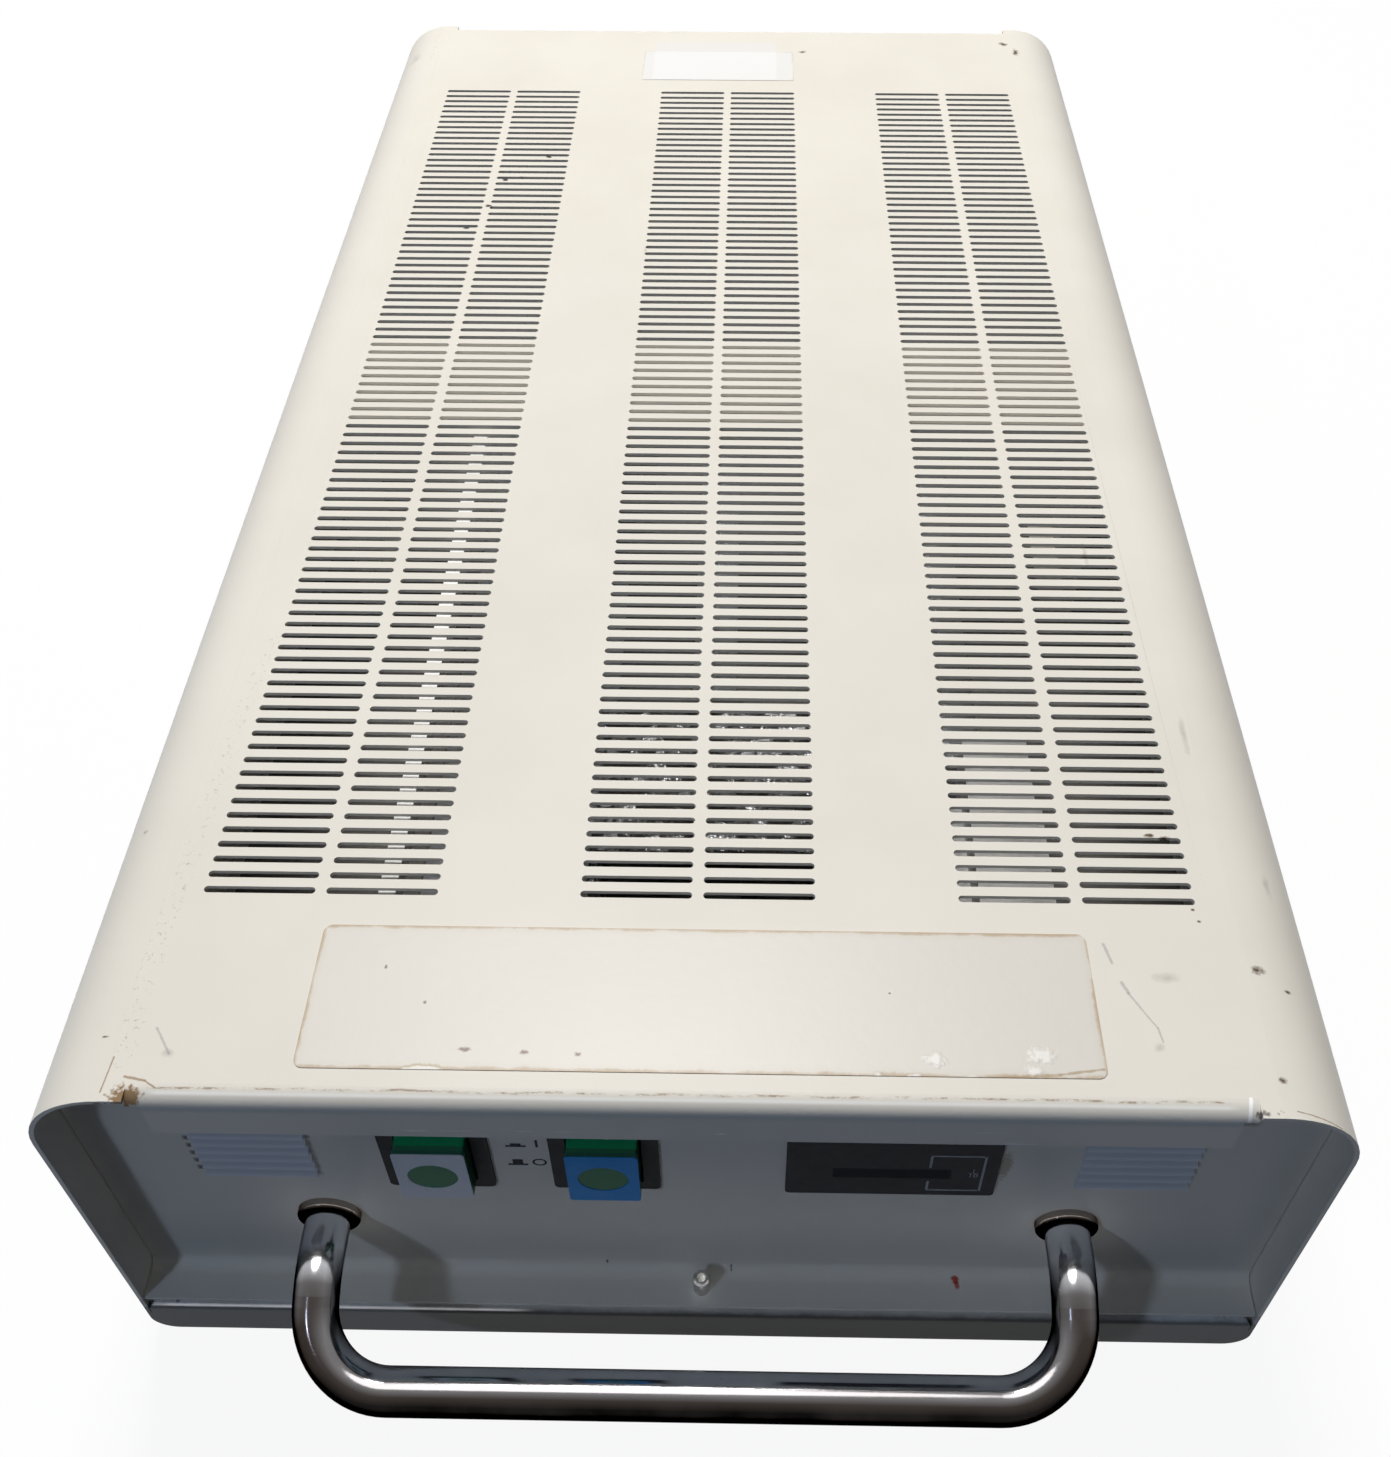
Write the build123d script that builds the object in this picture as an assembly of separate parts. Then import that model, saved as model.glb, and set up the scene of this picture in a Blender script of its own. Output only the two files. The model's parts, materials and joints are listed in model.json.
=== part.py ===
from build123d import *
from build123d.topology import SkipClean
import os

# A phototherapy lamp head: a flat box of painted sheet steel with six fluorescent lamps inside,
# a slotted cover, a recessed control panel with a chrome handle, and a clear pane underneath.
# Millimetres. X runs across, Y from the handle to the back, Z up from the surface it stands on.
# The origin is on that surface, in the middle of the whole footprint, handle included.

# Body
body_width = 400.0
body_length = 703.0
body_height = 173.0
sheet = 1.5
cover_corner_radius = 28.0
base_corner_radius = 9.0
fit_gap = 0.3
overrun = 5.0

# Slotted cover
cover_bottom = 25.5
vent_pitch = 6.0
vent_rows = 92
vent_slot_length = 36.2
vent_slot_width = 2.5
vent_web = 3.6
vent_pair_pitch = 122.1
vent_first_row = 74.0
vent_border = 6.0
cover_bend_radius = 6.0
cover_flange_height = 19.0
cover_flange_half = 161.0
cover_notch_width = 4.5
cover_notch_height = 11.0
cover_notch_drop = 3.8

# Base tray
base_wall_top = 25.0
base_lip_height = 20.0
base_lip_return = 9.0
base_lip_bend = 3.0
base_lip_low = 13.0
base_lip_corner = 4.0
light_opening_width = 336.0
light_opening_length = 632.0
light_opening_corner = 8.0

# Recessed end panels
panel_recess = 14.5
panel_bend = 5.0
ledge_top = 25.5
ledge_setback = 0.7
panel_tab_depth = 15.0
panel_tab_low = 64.0
panel_tab_high = 140.0

# Pressed louvres in the panels
louvre_length = 36.8
louvre_pitch = 5.2
louvre_count = 7
louvre_low = 98.1
louvre_centre_x = 142.9
louvre_reach = 1.9
louvre_rise = 3.7
louvre_skin = 0.8
louvre_nose = 0.9
rear_louvre_spacing_share = 0.5

# Side rails and the middle bridge
rail_sheet = 1.5
rail_low = 14.0
rail_seat = 58.5
rail_shelf = 22.0
bridge_width = 60.0
bridge_sheet = 2.0
bridge_play = 0.3
bridge_inset = 29.0
bridge_lip = 14.0

# Reflector and its folds between the lamps
reflector_sheet = 1.2
reflector_half = 194.0
fold_depth = 17.0
fold_half = 11.0
fold_rise = 1.8

# Lamps
lamp_count = 6
lamp_pitch = 54.0
lamp_radius = 19.0
lamp_glass = 0.9
lamp_length = 589.8
lamp_cap_length = 12.0
lamp_height = 33.5
lamp_pin_radius = 1.18
lamp_pin_length = 7.1
lamp_pin_spread = 6.35
lamp_pin_fit = 0.06

# Lamp holders
holder_width = 26.0
holder_depth = 20.0
holder_low = 13.0
holder_high = 54.0
holder_edge = 4.0
holder_rail_low = 10.0
holder_rail_fold = 16.0

# Pane under the lamps
pane_thickness = 3.0
pane_overlap = 9.0
retainer_sheet = 1.2
retainer_grip = 8.0
retainer_foot = 10.0
retainer_play = 0.5
retainer_screw_pitch = 150.0

# Small screws
screw_radius = 1.9
screw_hole_radius = 2.1
screw_head_radius = 3.6
screw_head_height = 2.2
screw_recess_radius = 1.1
screw_recess_depth = 1.0

# Ballasts
ballast_width = 40.0
ballast_length = 150.0
ballast_core_width = 27.0
ballast_core_height = 30.0
ballast_foot = 1.6
ballast_cap_height = 12.0
ballast_screw_inset = 7.0
ballast_screw_shift = 14.0
ballast_side_x = 119.0
ballast_side_y = 60.0
ballast_step_y = 20.0
ballast_rear_y = 20.0

# Wire duct, heat shield, terminal block, leads
duct_width = 5.6
duct_height = 10.0
duct_wall = 0.8
duct_place_share = 0.255
duct_drop = 3.2
shield_width = 84.0
shield_length = 69.0
shield_height = 57.0
shield_sheet = 0.8
shield_front_y = 118.0
shield_foot = 8.0
terminal_ways = 6
terminal_way_pitch = 10.0
terminal_depth = 20.0
terminal_height = 16.0
terminal_wall = 2.0
terminal_y = 95.0
terminal_x = 61.0
terminal_screw_radius = 1.9
grommet_radius = 8.0
grommet_bore = 5.0
grommet_hole = 6.0
grommet_flange = 2.0
grommet_groove = 0.05
grommet_end_inset = 32.0
lead_radius = 2.6
lead_reach = 30.0
lead_rise = 20.0

# Chrome handle
handle_radius = 7.75
handle_wall = 1.6
handle_half = 126.4
handle_height = 67.65
handle_straight = 20.3
handle_reach = 51.9
handle_drop = 17.85
handle_droop_bend = 26.0
handle_corner_bend = 26.0
collar_radius = 10.8
collar_height = 3.0
collar_round = 1.2
collar_fit = 0.15
stud_radius = 4.0
stud_grip = 14.0
stud_tail = 12.0
stud_hole_radius = 4.3
stud_fit = 0.1
nut_radius = 7.4
nut_height = 6.5
washer_radius = 10.0
washer_height = 1.6

# Push-button switches
button_height = 111.8
white_button_x = -83.9
blue_button_x = -29.2
button_width = 23.2
button_tall = 30.5
button_proud = 7.5
button_depth = 20.0
button_wall = 1.6
button_corner = 1.2
button_face_thickness = 1.6
button_disc_radius = 8.1
button_disc_sink = 0.2
button_play = 0.6
bezel_width = 35.2
bezel_tall = 41.0
bezel_thickness = 1.0
bezel_corner = 2.0
switch_body_margin = 1.2
switch_body_depth = 30.0
switch_back_wall = 2.5
switch_cutout_gap = 0.2
switch_travel = 3.5
spring_radius = 3.6
spring_wire = 0.45
spring_turns = 8
spring_post_radius = 2.4
spring_post_length = 12.0
spring_end_gap = 0.35
blade_width = 6.3
blade_thickness = 0.8
blade_length = 8.0
blade_pitch = 10.0
blade_root = 1.0

# Hour meter
meter_width = 69.0
meter_tall = 36.0
meter_bezel = 1.0
meter_corner = 1.5
meter_x = 64.1
meter_height = 108.1
meter_body_margin = 2.0
meter_body_depth = 38.0
meter_wall = 2.0
meter_window_width = 38.4
meter_window_tall = 6.6
meter_window_thickness = 1.2
meter_window_drop = 2.8
drum_count = 6
drum_pitch = 6.2
drum_width = 5.7
drum_side_gap = 0.1
drum_radius = 5.6
drum_rim = 1.0
drum_hub_radius = 2.2
drum_window_gap = 0.5
shaft_radius = 1.2
shaft_fit = 0.05
meter_frame_thickness = 2.0
meter_frame_depth = 14.0
meter_frame_side_gap = 0.4

# Mains inlet at the back
inlet_x = -110.0
inlet_height = 95.0
inlet_flange_width = 50.0
inlet_flange_tall = 28.0
inlet_flange_thickness = 3.0
inlet_body_width = 27.0
inlet_body_tall = 19.8
inlet_body_depth = 24.0
inlet_wall = 1.8
inlet_mouth_depth = 17.0
inlet_screw_spacing = 40.0
inlet_pin_width = 2.0
inlet_pin_tall = 4.0
inlet_pin_length = 11.0
inlet_pin_spread = 7.0
inlet_earth_lift = 2.0
inlet_tail_length = 8.0
inlet_corner = 4.0

# Stud on the front ledge
ledge_stud_radius = 3.0
ledge_stud_height = 9.0
ledge_stud_bore = 1.6
ledge_stud_bore_depth = 4.0
ledge_stud_chamfer = 0.7
ledge_stud_x = 1.2
ledge_nut_radius = 5.6
ledge_nut_height = 3.2

# Blank stickers on the cover
front_label_width = 241.0
front_label_length = 49.5
front_label_edge = 11.5
front_label_x = 2.4
rear_tag_width = 88.0
rear_tag_length = 36.0
rear_tag_edge = 31.5
rear_tag_x = -6.0
label_corner = 3.0
label_thickness = 0.3
rear_patch_width = 72.0
rear_patch_edge = 20.0
rear_patch_x = -8.0
rear_tag_thickness = 0.2

# Screws through the cover's sides
side_screw_height = 45.0
side_screw_high = 120.0
side_screw_inset = 24.0
side_screw_length = 6.0

# Places worked out from the sizes above
handle_overhang = handle_reach + handle_radius - panel_recess
front_y = (handle_overhang - body_length) / 2
rear_y = front_y + body_length
middle_y = (front_y + rear_y) / 2
front_face_y = front_y + panel_recess
rear_face_y = rear_y - panel_recess
front_back_y = front_face_y + sheet
rear_back_y = rear_face_y - sheet
half_width = body_width / 2
bridge_top = body_height - sheet - bridge_play
bridge_half = half_width - bridge_inset
duct_x = -body_width * duct_place_share
inner_half = half_width - sheet
vent_first_y = front_y + vent_first_row
vent_middle_y = vent_first_y + (vent_rows - 1) * vent_pitch / 2
reflector_top = rail_seat + reflector_sheet
lamp_xs = [(i - (lamp_count - 1) / 2) * lamp_pitch for i in range(lamp_count)]
holder_face_gap = fit_gap
holder_rail_y = lamp_length / 2 + holder_face_gap + holder_depth
cap_mid = lamp_length / 2
pin_reach = lamp_pin_spread + lamp_pin_radius
rail_inner = inner_half - rail_sheet
panel_half = inner_half - fit_gap
grommet_x = lamp_pitch * 3 / 2
grommet_y = cap_mid - grommet_end_inset
holder_rail_half = inner_half - rail_shelf - fit_gap

os.makedirs("parts", exist_ok=True)
pieces = {}


def block(x, y, z):
    """Box between the low and high ends given as pairs."""
    size = Box(x[1] - x[0], y[1] - y[0], z[1] - z[0])
    return Pos((x[0] + x[1]) / 2, (y[0] + y[1]) / 2, (z[0] + z[1]) / 2) * size


def centred(middle, width):
    """The low and high ends of a width about a middle."""
    return (middle - width / 2, middle + width / 2)


def along_y(sketch, y):
    """Solid from a sketch drawn in (x, z), between two places on Y."""
    plane = Plane(origin=(0, y[1], 0), x_dir=(1, 0, 0), z_dir=(0, -1, 0))
    return extrude(plane * sketch, amount=y[1] - y[0])


def along_x(sketch, x):
    """Solid from a sketch drawn in (y, z), between two places on X."""
    plane = Plane(origin=(x[0], 0, 0), x_dir=(0, 1, 0), z_dir=(1, 0, 0))
    return extrude(plane * sketch, amount=x[1] - x[0])


def along_z(sketch, z):
    """Solid from a sketch drawn in (x, y), between two heights."""
    return extrude(Plane.XY.offset(z[0]) * sketch, amount=z[1] - z[0])


def area(x, y):
    """Rectangle between the low and high ends given as pairs."""
    return Pos((x[0] + x[1]) / 2, (y[0] + y[1]) / 2) * Rectangle(x[1] - x[0], y[1] - y[0])


def soft_area(x, y, radius):
    """Rectangle with round corners between the low and high ends."""
    size = RectangleRounded(x[1] - x[0], y[1] - y[0], radius)
    return Pos((x[0] + x[1]) / 2, (y[0] + y[1]) / 2) * size


def round_corner(sketch, corner, radius):
    """The sketch with the corner nearest a point made round."""
    vertex = sketch.vertices().sort_by_distance((corner[0], corner[1], 0))[0]
    return fillet(vertex, radius)


def disc_y(radius, middle, y):
    """Cylinder along Y about a middle given as (x, z)."""
    return along_y(Pos(*middle) * Circle(radius), y)


def disc_z(radius, middle, z):
    """Upright cylinder about a middle given as (x, y)."""
    return along_z(Pos(*middle) * Circle(radius), z)


def bar_x(radius, middle, x):
    """Cylinder along X about a middle given as (y, z)."""
    return along_x(Pos(*middle) * Circle(radius), x)


def both_sides(solid):
    """The solid and its mirror image across the YZ plane."""
    return [solid, mirror(solid, about=Plane.YZ)]


def join(solids):
    """One solid from a list of touching ones."""
    whole = solids[0]
    for solid in solids[1:]:
        whole = whole + solid
    return whole


def save(node, solids):
    """Keep a node as one or more separate solids and write its file."""
    group = solids if isinstance(solids, list) else [solids]
    flat = []
    for item in group:
        flat.extend(item.solids())
    shape = flat[0] if len(flat) == 1 else Compound(children=flat)
    shape.label = node
    pieces[node] = shape
    export_step(shape, f"parts/{node}.step")


def outline(inset, low, radius_low, radius_high):
    """Body section in (x, z), drawn inset from the outside, open below at low."""
    half = half_width - inset
    high = body_height - inset
    shape = area((-half, half), (low, high))
    for side in (-half, half):
        if radius_high > 0:
            shape = round_corner(shape, (side, high), radius_high)
        if radius_low > 0:
            shape = round_corner(shape, (side, low), radius_low)
    return shape


def folded(edge, inner, low, high, radius, thickness):
    """L section in (y, z): a sheet at height high that turns down at the place edge."""
    way = 1 if inner > edge else -1
    outer = area(sorted((edge, inner)), (low, high))
    outer = round_corner(outer, (edge, high), radius)
    inside_edge = edge + way * thickness
    inside = area(sorted((inside_edge, inner + way * overrun)), (low - overrun, high - thickness))
    inside = round_corner(inside, (inside_edge, high - thickness), radius - thickness)
    return outer - inside


def screw(length):
    """Pan-head screw pointing down, its head's underside at the origin."""
    shank = disc_z(screw_radius, (0, 0), (-length, 0))
    head = disc_z(screw_head_radius, (0, 0), (0, screw_head_height))
    head = fillet(head.edges().sort_by(Axis.Z)[-1], screw_head_height / 2)
    socket_floor = screw_head_height - screw_recess_depth
    socket = disc_z(screw_recess_radius, (0, 0), (socket_floor, screw_head_height + overrun))
    return shank + head - socket


# Slotted cover
def vent_columns():
    """Middles of the six slot columns on X."""
    step = (vent_slot_length + vent_web) / 2
    return [pair * vent_pair_pitch + side * step for pair in (-1, 0, 1) for side in (-1, 1)]


def vent_slot():
    """Outline of one slot about the origin: two straight edges and two round ends."""
    tip = vent_slot_length / 2
    side = vent_slot_width / 2
    flat = tip - side
    return Wire([Edge.make_line((-flat, -side), (flat, -side)),
                 Edge.make_three_point_arc((flat, -side), (tip, 0), (flat, side)),
                 Edge.make_line((flat, side), (-flat, side)),
                 Edge.make_three_point_arc((-flat, side), (-tip, 0), (-flat, -side))])


def vent_plate():
    """Flat sheet with every slot in it, as one face with holes, and its low and high ends."""
    half = vent_pair_pitch + vent_slot_length + vent_border
    y = (vent_first_y - vent_border, vent_first_y + (vent_rows - 1) * vent_pitch + vent_border)
    slot = vent_slot()
    holes = []
    for x in vent_columns():
        for row in range(vent_rows):
            holes.append(Pos(x, vent_first_y + row * vent_pitch) * slot)
    face = Face(area((-half, half), y).wire(), holes)
    placed = Pos(0, 0, body_height - sheet) * face
    return Solid.extrude(placed, Vector(0, 0, sheet)), (-half, half), y


def cover_end(edge, way):
    """Turned-down flange at one end of the cover, between the corner notches."""
    inner = edge + way * cover_bend_radius
    low = body_height - cover_flange_height
    section = folded(edge, inner, low, body_height, cover_bend_radius, sheet)
    bend_half = cover_flange_half + cover_notch_width
    flange = along_x(section, (-bend_half, bend_half))
    across = sorted((edge - way * overrun, inner + way * overrun))
    under = (low - overrun, body_height - cover_notch_drop)
    return flange - both_sides(block((cover_flange_half, bend_half + overrun), across, under))


def side_screw_places():
    """Where the screws go through the cover's side, as (y, z)."""
    low_ys = (front_y + body_length / 4, middle_y, rear_y - body_length / 4)
    tab_ys = (front_y + side_screw_inset, rear_y - side_screw_inset)
    places = [(y, side_screw_height) for y in low_ys]
    return places + [(y, side_screw_high) for y in tab_ys]


def top_cover():
    section = outline(0, cover_bottom, 0, cover_corner_radius)
    inside = outline(sheet, cover_bottom - overrun, 0, cover_corner_radius - sheet)
    wrap = along_y(section - inside, (front_y, rear_y))
    notch_half = cover_flange_half + cover_notch_width
    high = (body_height - cover_notch_height, body_height + overrun)
    for edge, way in ((front_y, 1), (rear_y, -1)):
        cut = sorted((edge - way * overrun, edge + way * cover_bend_radius))
        wrap = wrap - block((-notch_half, notch_half), cut, high)
    reach = half_width + overrun
    holes = [bar_x(screw_hole_radius, place, (-reach, reach)) for place in side_screw_places()]
    wrap = (wrap - holes) + [cover_end(front_y, 1), cover_end(rear_y, -1)]
    plate, plate_x, plate_y = vent_plate()
    wrap = wrap - block(plate_x, plate_y, high)
    with SkipClean():
        return wrap.fuse(plate, glue=True)


# Base tray
def base_section(inset, top):
    """Base section in (x, z), round at its lower corners."""
    half = half_width - inset
    shape = area((-half, half), (inset, top))
    for side in (-half, half):
        shape = round_corner(shape, (side, inset), base_corner_radius - inset)
    return shape


def base_lip(edge, way):
    """Top edge of the tray's end wall, turned inwards, between the sides and round at its ends."""
    half = inner_half - fit_gap
    inner = edge + way * base_lip_return
    section = folded(edge, inner, base_lip_low, base_lip_height, base_lip_bend, sheet)
    front = area((-half, half), (base_lip_low - overrun, base_lip_height))
    for side in (-half, half):
        front = round_corner(front, (side, base_lip_height), base_lip_corner)
    across = sorted((edge - way * overrun, inner + way * overrun))
    return along_x(section, (-half, half)) & along_y(front, across)


def retainer_screw_places():
    """Where the screws hold the pane's strips down, as (x, y)."""
    edge_x = light_opening_width / 2 + pane_overlap + retainer_play + retainer_foot / 2
    edge_y = light_opening_length / 2 + pane_overlap + retainer_play + retainer_foot / 2
    places = []
    for side in (-1, 1):
        for step in (-1, 0, 1):
            places.append((side * edge_x, middle_y + step * retainer_screw_pitch * 3 / 2))
        for step in (-1, 1):
            places.append((step * retainer_screw_pitch / 2, middle_y + side * edge_y))
    return places


def base_pan():
    pan = along_y(base_section(0, base_wall_top), (front_y, rear_y))
    pan = pan - along_y(base_section(sheet, base_wall_top + overrun), (front_y + sheet, rear_y - sheet))
    for edge, way in ((front_y, 1), (rear_y, -1)):
        ends = sorted((edge - way * overrun, edge + way * base_lip_return))
        pan = pan - block((-inner_half, inner_half), ends, (base_lip_low, base_wall_top + overrun))
    pan = pan + [base_lip(front_y, 1), base_lip(rear_y, -1)]
    opening = soft_area(centred(0, light_opening_width), centred(middle_y, light_opening_length),
                        light_opening_corner)
    pan = pan - along_z(opening, (-overrun, sheet + overrun))
    holes = [disc_z(screw_radius + stud_fit, place, (-overrun, sheet + overrun))
             for place in retainer_screw_places()]
    return pan - holes


# Recessed panels
def panel_blank(edge, way):
    """Upright panel and its ledge, folded from one sheet, with tabs at its sides."""
    face = edge + way * panel_recess
    back = face + way * sheet
    nose = edge + way * ledge_setback
    low = ledge_top - sheet
    high = body_height
    outer = area(sorted((nose, back)), (low, high))
    outer = round_corner(outer, (back, low), panel_bend + sheet)
    inside = area(sorted((nose - way * overrun, face)), (ledge_top, high + overrun))
    inside = round_corner(inside, (face, ledge_top), panel_bend)
    blank = along_x(outer - inside, (-panel_half, panel_half))
    limit = outline(sheet + fit_gap, low - overrun, 0, cover_corner_radius - sheet - fit_gap)
    blank = blank & along_y(limit, sorted((nose - way * overrun, back + way * overrun)))
    tab = block((panel_half - sheet, panel_half), sorted((face, face + way * panel_tab_depth)),
                (panel_tab_low, panel_tab_high))
    tab_hole = bar_x(screw_hole_radius, (edge + way * side_screw_inset, side_screw_high),
                     (panel_half - sheet - overrun, panel_half + overrun))
    return join([blank] + both_sides(tab - tab_hole))


def louvre(face, way, low):
    """Solid hood of one louvre and the space under it, as (y, z) sections along X."""
    reach = face - way * louvre_reach
    hood = Polygon((face, low + louvre_rise), (reach, low + louvre_nose), (reach, low),
                   (face, low), align=None)
    skin = louvre_skin
    past = face + way * (sheet + overrun)
    hollow = Polygon((past, low + louvre_rise - 2 * skin), (face, low + louvre_rise - 2 * skin),
                     (reach + way * skin, low + louvre_nose - skin / 2), (reach + way * skin, low),
                     (past, low), align=None)
    return hood, hollow


def add_louvres(panel, face, way, centres):
    """The panel with a stack of louvres pressed in it at each centre."""
    hoods = []
    hollows = []
    for centre in centres:
        for i in range(louvre_count):
            hood, hollow = louvre(face, way, louvre_low + i * louvre_pitch)
            hoods.append(along_x(hood, centred(centre, louvre_length)))
            hollows.append(along_x(hollow, centred(centre, louvre_length - 2 * louvre_skin)))
    return (panel + hoods) - hollows


def switch_cutout(x):
    """Hole in the panel for one switch body."""
    width = bezel_width - 2 * switch_body_margin + 2 * switch_cutout_gap
    tall = bezel_tall - 2 * switch_body_margin + 2 * switch_cutout_gap
    return block(centred(x, width), centred(front_face_y, 2 * overrun), centred(button_height, tall))


def front_panel():
    panel = panel_blank(front_y, 1)
    through = (front_face_y - overrun, front_back_y + overrun)
    cuts = [switch_cutout(white_button_x), switch_cutout(blue_button_x)]
    meter_hole_width = meter_width - 2 * meter_body_margin + 2 * switch_cutout_gap
    meter_hole_tall = meter_tall - 2 * meter_body_margin + 2 * switch_cutout_gap
    cuts.append(block(centred(meter_x, meter_hole_width), through,
                      centred(meter_height, meter_hole_tall)))
    for side in (-1, 1):
        cuts.append(disc_y(stud_hole_radius, (side * handle_half, handle_height), through))
    stud_y = (front_y + front_face_y) / 2
    cuts.append(disc_z(ledge_stud_radius, (ledge_stud_x, stud_y),
                       (ledge_top - sheet - overrun, ledge_top + overrun)))
    panel = panel - cuts
    return add_louvres(panel, front_face_y, 1, (-louvre_centre_x, louvre_centre_x))


def rear_panel():
    panel = panel_blank(rear_y, -1)
    through = (rear_back_y - overrun, rear_face_y + overrun)
    mouth = soft_area(centred(inlet_x, inlet_body_width + 2 * switch_cutout_gap),
                      centred(inlet_height, inlet_body_tall + 2 * switch_cutout_gap),
                      inlet_corner)
    cuts = [along_y(mouth, through)]
    for side in (-1, 1):
        place = (inlet_x + side * inlet_screw_spacing / 2, inlet_height)
        cuts.append(disc_y(screw_hole_radius, place, through))
    panel = panel - cuts
    spread = louvre_centre_x * rear_louvre_spacing_share
    return add_louvres(panel, rear_face_y, -1, (0, spread, 2 * spread))


# Inner frame
def side_rails():
    """Angle along each side that joins the cover to the tray and carries the reflector."""
    y = (front_back_y + fit_gap, rear_back_y - fit_gap)
    wall = block((rail_inner, inner_half), y, (rail_low, rail_seat))
    shelf = block((inner_half - rail_shelf, inner_half), y, (rail_seat - rail_sheet, rail_seat))
    rail = wall + shelf
    holes = [bar_x(screw_radius + stud_fit, (py, pz), (rail_inner - overrun, inner_half + overrun))
             for py, pz in side_screw_places() if pz < rail_seat]
    return both_sides(rail - holes)


def centre_bridge():
    """Channel across the middle, close under the slots, standing on the reflector's edges."""
    y = centred(vent_middle_y, bridge_width)
    top = block((-bridge_half, bridge_half), y, (bridge_top - bridge_sheet, bridge_top))
    parts = [top]
    for side in (0, 1):
        edge = y[0] if side == 0 else y[1] - bridge_sheet
        parts.append(block((-bridge_half, bridge_half), (edge, edge + bridge_sheet),
                           (bridge_top - bridge_lip, bridge_top)))
    leg = block((bridge_half - bridge_sheet, bridge_half), y, (reflector_top, bridge_top))
    foot = block((bridge_half - bridge_lip, bridge_half), y,
                 (reflector_top, reflector_top + bridge_sheet))
    return join(parts + both_sides(leg + foot))


def ballast_places():
    """Middle of each ballast as (x, y)."""
    half = ballast_length / 2
    side_y = front_face_y + ballast_side_y + half
    return [(-lamp_pitch, middle_y + ballast_rear_y + half), (0, side_y + ballast_step_y),
            (ballast_side_x, side_y)]


def ballast_screw_places():
    """Where the ballasts are screwed down, beside the reflector's grooves, as (x, y)."""
    reach = ballast_length / 2 - ballast_screw_inset
    return [(x + ballast_screw_shift, y + way * reach) for x, y in ballast_places() for way in (-1, 1)]


def grommet_places():
    """Holes in the reflector for the lamp leads, as (x, y)."""
    return [(side * grommet_x, middle_y + end * grommet_y) for side in (-1, 1) for end in (-1, 1)]


def reflector():
    """Bright sheet above the lamps, folded down into a groove between each pair of lamps."""
    y = centred(middle_y, 2 * (holder_rail_y + sheet))
    plate = block((-reflector_half, reflector_half), y, (rail_seat, reflector_top))
    fold_y = centred(middle_y, lamp_length - 2 * lamp_cap_length)
    folds = []
    grooves = []
    for i in range(lamp_count - 1):
        x = (lamp_xs[i] + lamp_xs[i + 1]) / 2
        fold = Polygon((x - fold_half, rail_seat), (x, rail_seat - fold_depth),
                       (x + fold_half, rail_seat), align=None)
        folds.append(along_y(fold, fold_y))
        grooves.append(along_y(Pos(0, fold_rise) * fold, fold_y))
    hole_z = (rail_seat - fit_gap, reflector_top + overrun)
    holes = [disc_z(grommet_hole, place, hole_z) for place in grommet_places()]
    holes += [disc_z(screw_radius + stud_fit, place, hole_z) for place in ballast_screw_places()]
    return (plate + folds) - grooves - holes


def holder_rail(way):
    """Upright strip that carries one row of lamp holders, folded to meet the reflector."""
    face = middle_y + way * holder_rail_y
    back = face + way * sheet
    high = rail_seat
    wall = block((-holder_rail_half, holder_rail_half), sorted((face, back)), (holder_rail_low, high))
    fold = block((-holder_rail_half, holder_rail_half), sorted((face - way * holder_rail_fold, back)),
                 (high - sheet, high))
    return wall + fold


def lamp_holders(way):
    """Row of holders; each has a round socket that the lamp's pins turn in."""
    face = middle_y + way * (cap_mid + holder_face_gap)
    back = middle_y + way * holder_rail_y
    holders = []
    for x in lamp_xs:
        shape = soft_area(centred(x, holder_width), (holder_low, holder_high), holder_edge)
        body = along_y(shape, sorted((face, back)))
        depth = lamp_pin_length + fit_gap
        socket = disc_y(pin_reach + lamp_pin_fit, (x, lamp_height),
                        sorted((face - way * overrun, face + way * depth)))
        holders.append(body - socket)
    return holders


def lamp(x):
    """Glass tube with a metal cap and two pins at each end, as separate solids."""
    glass_end = cap_mid - lamp_cap_length
    glass_y = centred(middle_y, 2 * glass_end)
    tube = disc_y(lamp_radius, (x, lamp_height), glass_y)
    tube = tube - disc_y(lamp_radius - lamp_glass, (x, lamp_height), glass_y)
    solids = [tube]
    for way in (-1, 1):
        inner = middle_y + way * glass_end
        outer = middle_y + way * cap_mid
        cap = disc_y(lamp_radius, (x, lamp_height), sorted((inner, outer)))
        for side in (-1, 1):
            pin = disc_y(lamp_pin_radius, (x + side * lamp_pin_spread, lamp_height),
                         sorted((outer, outer + way * lamp_pin_length)))
            cap = cap + pin
        solids.append(cap)
    return solids


# Pane and its strips
def diffuser_pane():
    shape = soft_area(centred(0, light_opening_width + 2 * pane_overlap),
                      centred(middle_y, light_opening_length + 2 * pane_overlap),
                      light_opening_corner)
    return along_z(shape, (sheet, sheet + pane_thickness))


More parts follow.
